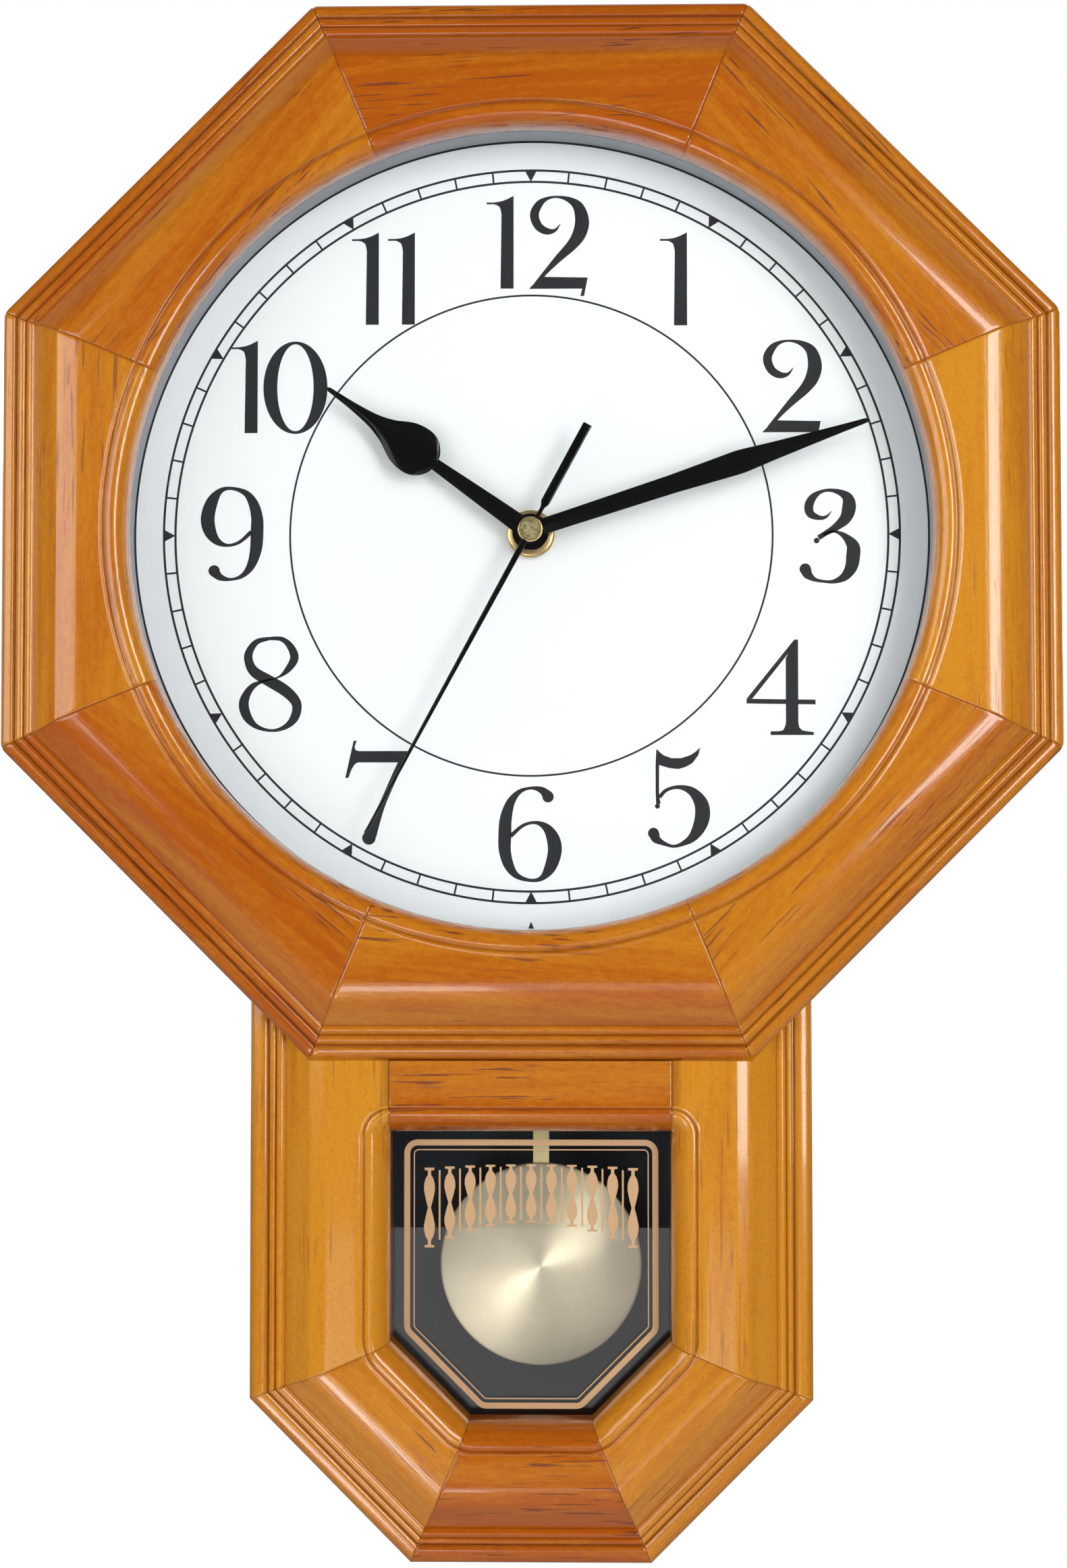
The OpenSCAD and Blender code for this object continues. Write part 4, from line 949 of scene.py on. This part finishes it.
def tanMaterial():
    shader = Shader("tan_print")
    tint = shader.mix((0.68, 0.42, 0.215), (0.75, 0.475, 0.255), shader.noise(1900, 3))
    return shader.surface(baseColor=tint, roughness=0.5)


def windowPrint():
    # two border lines, and a row of turned spindles and thin bars under a flat arch, each a
    # profile of (level, half width) mirrored
    b, solid = border, Solid()
    for inset, width, outRound in [(0, b["band"], b["round"]),
                                   (b["band"] + b["gap"], b["line"], b["innerRound"])]:
        solid.band(borderOutline(inset, outRound),
                   borderOutline(inset + width, max(outRound - width, 0.7)), b["back"], b["front"],
                   True)
    spindle = [(0, 1.5), (.03, 1.5), (.035, .5), (.09, .5), (.14, 1.2), (.20, 1.6), (.28, 1.7),
               (.40, 1.1), (.5, .45), (.60, 1.1), (.72, 1.7), (.80, 1.6), (.86, 1.2), (.91, .5),
               (.965, .5), (.97, 1.5), (1, 1.5)]
    for k, x in enumerate(np.linspace(-31.4, 31.4, 21)):
        arch = (x / 33) ** 2
        top, foot = -195.2 - 1.2 * arch, -213.0 - 8.6 * arch
        profile = [(.04, .28), (.96, .28)] if k % 2 else spindle
        right = [(x + w, foot + (top - foot) * level) for level, w in profile]
        left = [(x - w, foot + (top - foot) * level) for level, w in profile[::-1]]
        solid.prism(right + left, b["back"], b["front"])
    return solid.piece("window_print", tanMaterial(), "brushed_brass", flats=30)


windowPrint()
print("glass done")

# CAD nodes that keep their shape

def leatherMaterial():
    shader = Shader("leatherette")
    cells = shader.node("ShaderNodeTexVoronoi", dict(feature="SMOOTH_F1"), dict(
        Vector=shader.scaled(shader.place(), (1050,) * 3), Scale=1.0, Randomness=1.0))
    folds = shader.noise(420, 3)
    return shader.surface(
        baseColor=shader.mix((0.006, 0.009, 0.013), (0.013, 0.018, 0.025), folds),
        roughness=0.37 + folds * 0.14, ior=1.5, specularTint=(0.72, 0.88, 1.0, 1.0),
        normal=shader.bump(cells * 0.7 + folds * 0.8, 0.00013))


def metalMaterial(name, colour, roughness):
    shader = Shader(name)
    lines, cloud = shader.noise((2600, 260, 260)), shader.noise(160)
    return shader.surface(
        baseColor=shader.mix(colour, tuple(c * 0.72 for c in colour), cloud.between(0.35, 0.7)),
        metallic=1.0, roughness=roughness + lines * 0.15, normal=shader.bump(lines, 0.00001))


def plywoodMaterial():
    shader = Shader("plywood")
    fine, broad = shader.noise((60, 60, 900), 3, 0.6), shader.noise((9, 9, 90), distortion=0.5)
    return shader.surface(
        baseColor=shader.mix((0.46, 0.30, 0.165), (0.30, 0.175, 0.085),
                             (fine * 0.5 + broad * 0.6).between(0.35, 0.75)),
        roughness=0.6 + (fine - 0.5) * 0.2, normal=shader.bump(fine, 0.00006))


def coilMaterial():
    # wound wire: fine even rings along the first axis
    shader = Shader("copper_winding")
    turns = (shader.parts(shader.place())[0] * 9000).math("SINE") * 0.5 + 0.5
    return shader.surface(
        baseColor=shader.mix((0.55, 0.17, 0.05), (0.28, 0.07, 0.02), turns), metallic=0.8,
        roughness=0.32 + turns * 0.1, normal=shader.bump(turns, 0.00005))


def batteryMaterial():
    # a plain two-tone sleeve
    shader = Shader("battery_sleeve")
    band = shader.parts(shader.place())[0].between(0.0095, 0.0097)
    return shader.surface(
        baseColor=shader.mix((0.03, 0.035, 0.04), (0.62, 0.36, 0.10), band),
        metallic=0.6, roughness=0.3 + shader.noise(900) * 0.1)


boards = dict(
    honey=(0.66, 0.245, 0.02), amber=(0.44, 0.105, 0.006), streak=(0.16, 0.03, 0.004),
    speck=(0.36, 0.088, 0.006), relief=0.00008, roughness=0.34, coat=0.25,
)
kept = {
    pineMaterial("stained_boards", boards, (0.0, 0.0, 0.0)):
        ["head_top_board", "head_floor_board", "trunk_floor_board"],
    pineMaterial("stained_boards_upright", boards, (0.0, 2 * eighth, 0.0)):
        ["head_left_board", "head_right_board", "trunk_left_board", "trunk_right_board"],
    pineMaterial("stained_boards_left", boards, (0.0, eighth, 0.0)): ["trunk_left_diagonal"],
    pineMaterial("stained_boards_right", boards, (0.0, -eighth, 0.0)): ["trunk_right_diagonal"],
    plywoodMaterial(): ["dial_board", "head_back"],
    leatherMaterial(): ["trunk_back"],
    clearGlass: ["window_glass"],
    metalMaterial("zinc_steel", (0.62, 0.62, 0.60), 0.28):
        ["glass_clips", "screws", "washer", "stator", "battery_contacts"],
    polishedBrass: ["hanger_plate", "threaded_bush"],
    plasticMaterial("black_plastic", (0.012, 0.012, 0.013), (0.02, 0.02, 0.021), 0.42, 0.00004):
        ["movement_housing", "movement_cover", "setting_knob"],
    plasticMaterial("white_plastic", (0.72, 0.70, 0.62), (0.80, 0.78, 0.70), 0.35):
        ["hour_wheel", "centre_wheel", "second_wheel", "third_wheel", "motion_wheel",
         "intermediate_wheel", "swing_arm"],
    coilMaterial(): ["motor_coil", "drive_coil"],
    plasticMaterial("board_green", (0.01, 0.12, 0.03), (0.02, 0.18, 0.05), 0.4): ["circuit_board"],
    batteryMaterial(): ["battery"],
    metalMaterial("magnet", (0.16, 0.16, 0.17), 0.4): ["rotor", "arm_magnet"],
    brassMaterial("strip_brass", (1.0, 0.88, 0.46), (1.0, 0.82, 0.38), 0.5, metal=0.3):
        ["pendulum_rod"],
}
for material, nodes in kept.items():
    for node in nodes:
        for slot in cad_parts[node].material_slots:
            slot.material = material
print("kept nodes dressed")

# Stage, lights, camera

studio = dict(
    floor=-1.0, floorColour=(0.45, 0.45, 0.45), floorSpeck=(0.43, 0.43, 0.43), ambient=0.2,
    mirrorFront=0.03, mirrorBack=0.75, glassFront=0.05, clearFrom=0.25, clearTo=0.85,
    aim=(0.0, -0.07, -0.13),
)


def stageMaterial():
    # to the camera the floor turns plain white away from the object and keeps its shadow near it
    shader = Shader("pale_floor")
    x, y = shader.parts(shader.place())[:2]
    matt = shader.principled(
        baseColor=shader.mix(studio["floorColour"], studio["floorSpeck"], shader.noise(30)),
        roughness=0.8)
    glow = shader.node("ShaderNodeEmission", inputs={"Color": (1.0, 1.0, 1.0),
                                                     "Strength": 1.0})
    seen = shader.node("ShaderNodeLightPath", output="Is Camera Ray")
    far = (x * x + y * y).math("SQRT").between(studio["clearFrom"], studio["clearTo"])
    return shader.finish(shader.node("ShaderNodeMixShader",
                                     inputs={0: seen * (far * 0.25 + 0.75), 1: matt, 2: glow}))


def paleFloor():
    mesh, level = bpy.data.meshes.new("floor"), studio["floor"]
    mesh.from_pydata([(-6, -2.1, level), (6, -2.1, level), (6, 6, level), (-6, 6, level)], [],
                     [(0, 1, 2, 3)])
    mesh.materials.append(stageMaterial())
    floor = bpy.data.objects.new("floor", mesh)
    bpy.context.scene.collection.objects.link(floor)


def lightRoom():
    # white to the camera, through glass and in mirrors that face the back; mirrors that face the
    # front see a dark room with lamps, and matt surfaces a dim even light
    shader = Shader("studio", world=True)
    path = shader.node("ShaderNodeLightPath").socket.node
    seen = lambda name: Value(shader, path.outputs[name])
    y = shader.parts(shader.node("ShaderNodeTexCoord", output="Generated"))[1]
    through = seen("Is Transmission Ray")
    direct = seen("Is Camera Ray").math("MAXIMUM", through * y.between(-0.15, 0.05))
    low, high = studio["mirrorFront"], studio["mirrorBack"]
    inMirror = seen("Is Glossy Ray") * (y.between(-0.15, 0.5) * (high - low) + low)
    matt = (1 - seen("Is Glossy Ray")) * studio["ambient"] + through * studio["glassFront"]
    glow = shader.node("ShaderNodeBackground", inputs={
        "Color": (1.0, 1.0, 1.0), "Strength": direct.math("MAXIMUM", inMirror + matt)})
    shader.node("ShaderNodeOutputWorld", inputs={"Surface": glow})
    bpy.context.scene.world = shader.owner


paleFloor()
lightRoom()


def softbox(name, at, width, height, watts, target=studio["aim"]):
    data = bpy.data.lights.new(name, "AREA")
    data.shape, data.size, data.size_y, data.energy = "RECTANGLE", width, height, watts
    lamp = bpy.data.objects.new(name, data)
    bpy.context.scene.collection.objects.link(lamp)
    lamp.location, lamp.visible_camera = at, False
    lamp.rotation_euler = (Vector(target) - Vector(at)).to_track_quat("-Z", "Y").to_euler()


softbox("key_right", (0.74, -1.36, 0.08), 0.42, 1.12, 11.3)
softbox("fill_left", (-1.10, -1.22, 0.05), 1.4, 0.8, 8.8)
softbox("low_left", (-0.45, -1.20, -1.0), 0.35, 0.3, 2.6)
softbox("low_front", (-0.17, -1.35, -0.735), 0.22, 0.14, 0.45, (0.0, -0.04, -0.32))
softbox("table_glow", (0.0, -1.55, -0.62), 0.45, 1.1, 1.5, (0.0, -1.55, 0.0))
softbox("rear_left", (-1.0, 1.3, 0.7), 1.0, 1.0, 10.0)
softbox("rear_right", (1.1, 1.2, 0.5), 1.0, 1.0, 10.0)

photoView = dict(lens=52.77, at=(0.01267, -0.780, -0.18735), roll=-0.0004, tilt=-0.0345,
                 pan=-0.0167)


def photoCamera():
    # placed by a fit of the photograph's corners and circles; no shift
    data = bpy.data.cameras.new("photo_camera")
    data.sensor_fit, data.sensor_width, data.lens = "AUTO", 36.0, photoView["lens"]
    data.clip_start, data.clip_end = 0.05, 20.0
    camera = bpy.data.objects.new("photo_camera", data)
    bpy.context.scene.collection.objects.link(camera)
    spin = Matrix.Rotation(photoView["roll"], 3, "Y") \
        @ Matrix.Rotation(photoView["tilt"], 3, "X") @ Matrix.Rotation(photoView["pan"], 3, "Z")
    right, ahead, up = (spin.transposed() @ v for v in Matrix.Identity(3))
    turn = Matrix((right, up, -ahead)).transposed()
    camera.matrix_world = Matrix.Translation(photoView["at"]) @ turn.to_4x4()
    bpy.context.scene.camera = camera


photoCamera()
bpy.context.scene.view_settings.view_transform = "Standard"

print("finished")
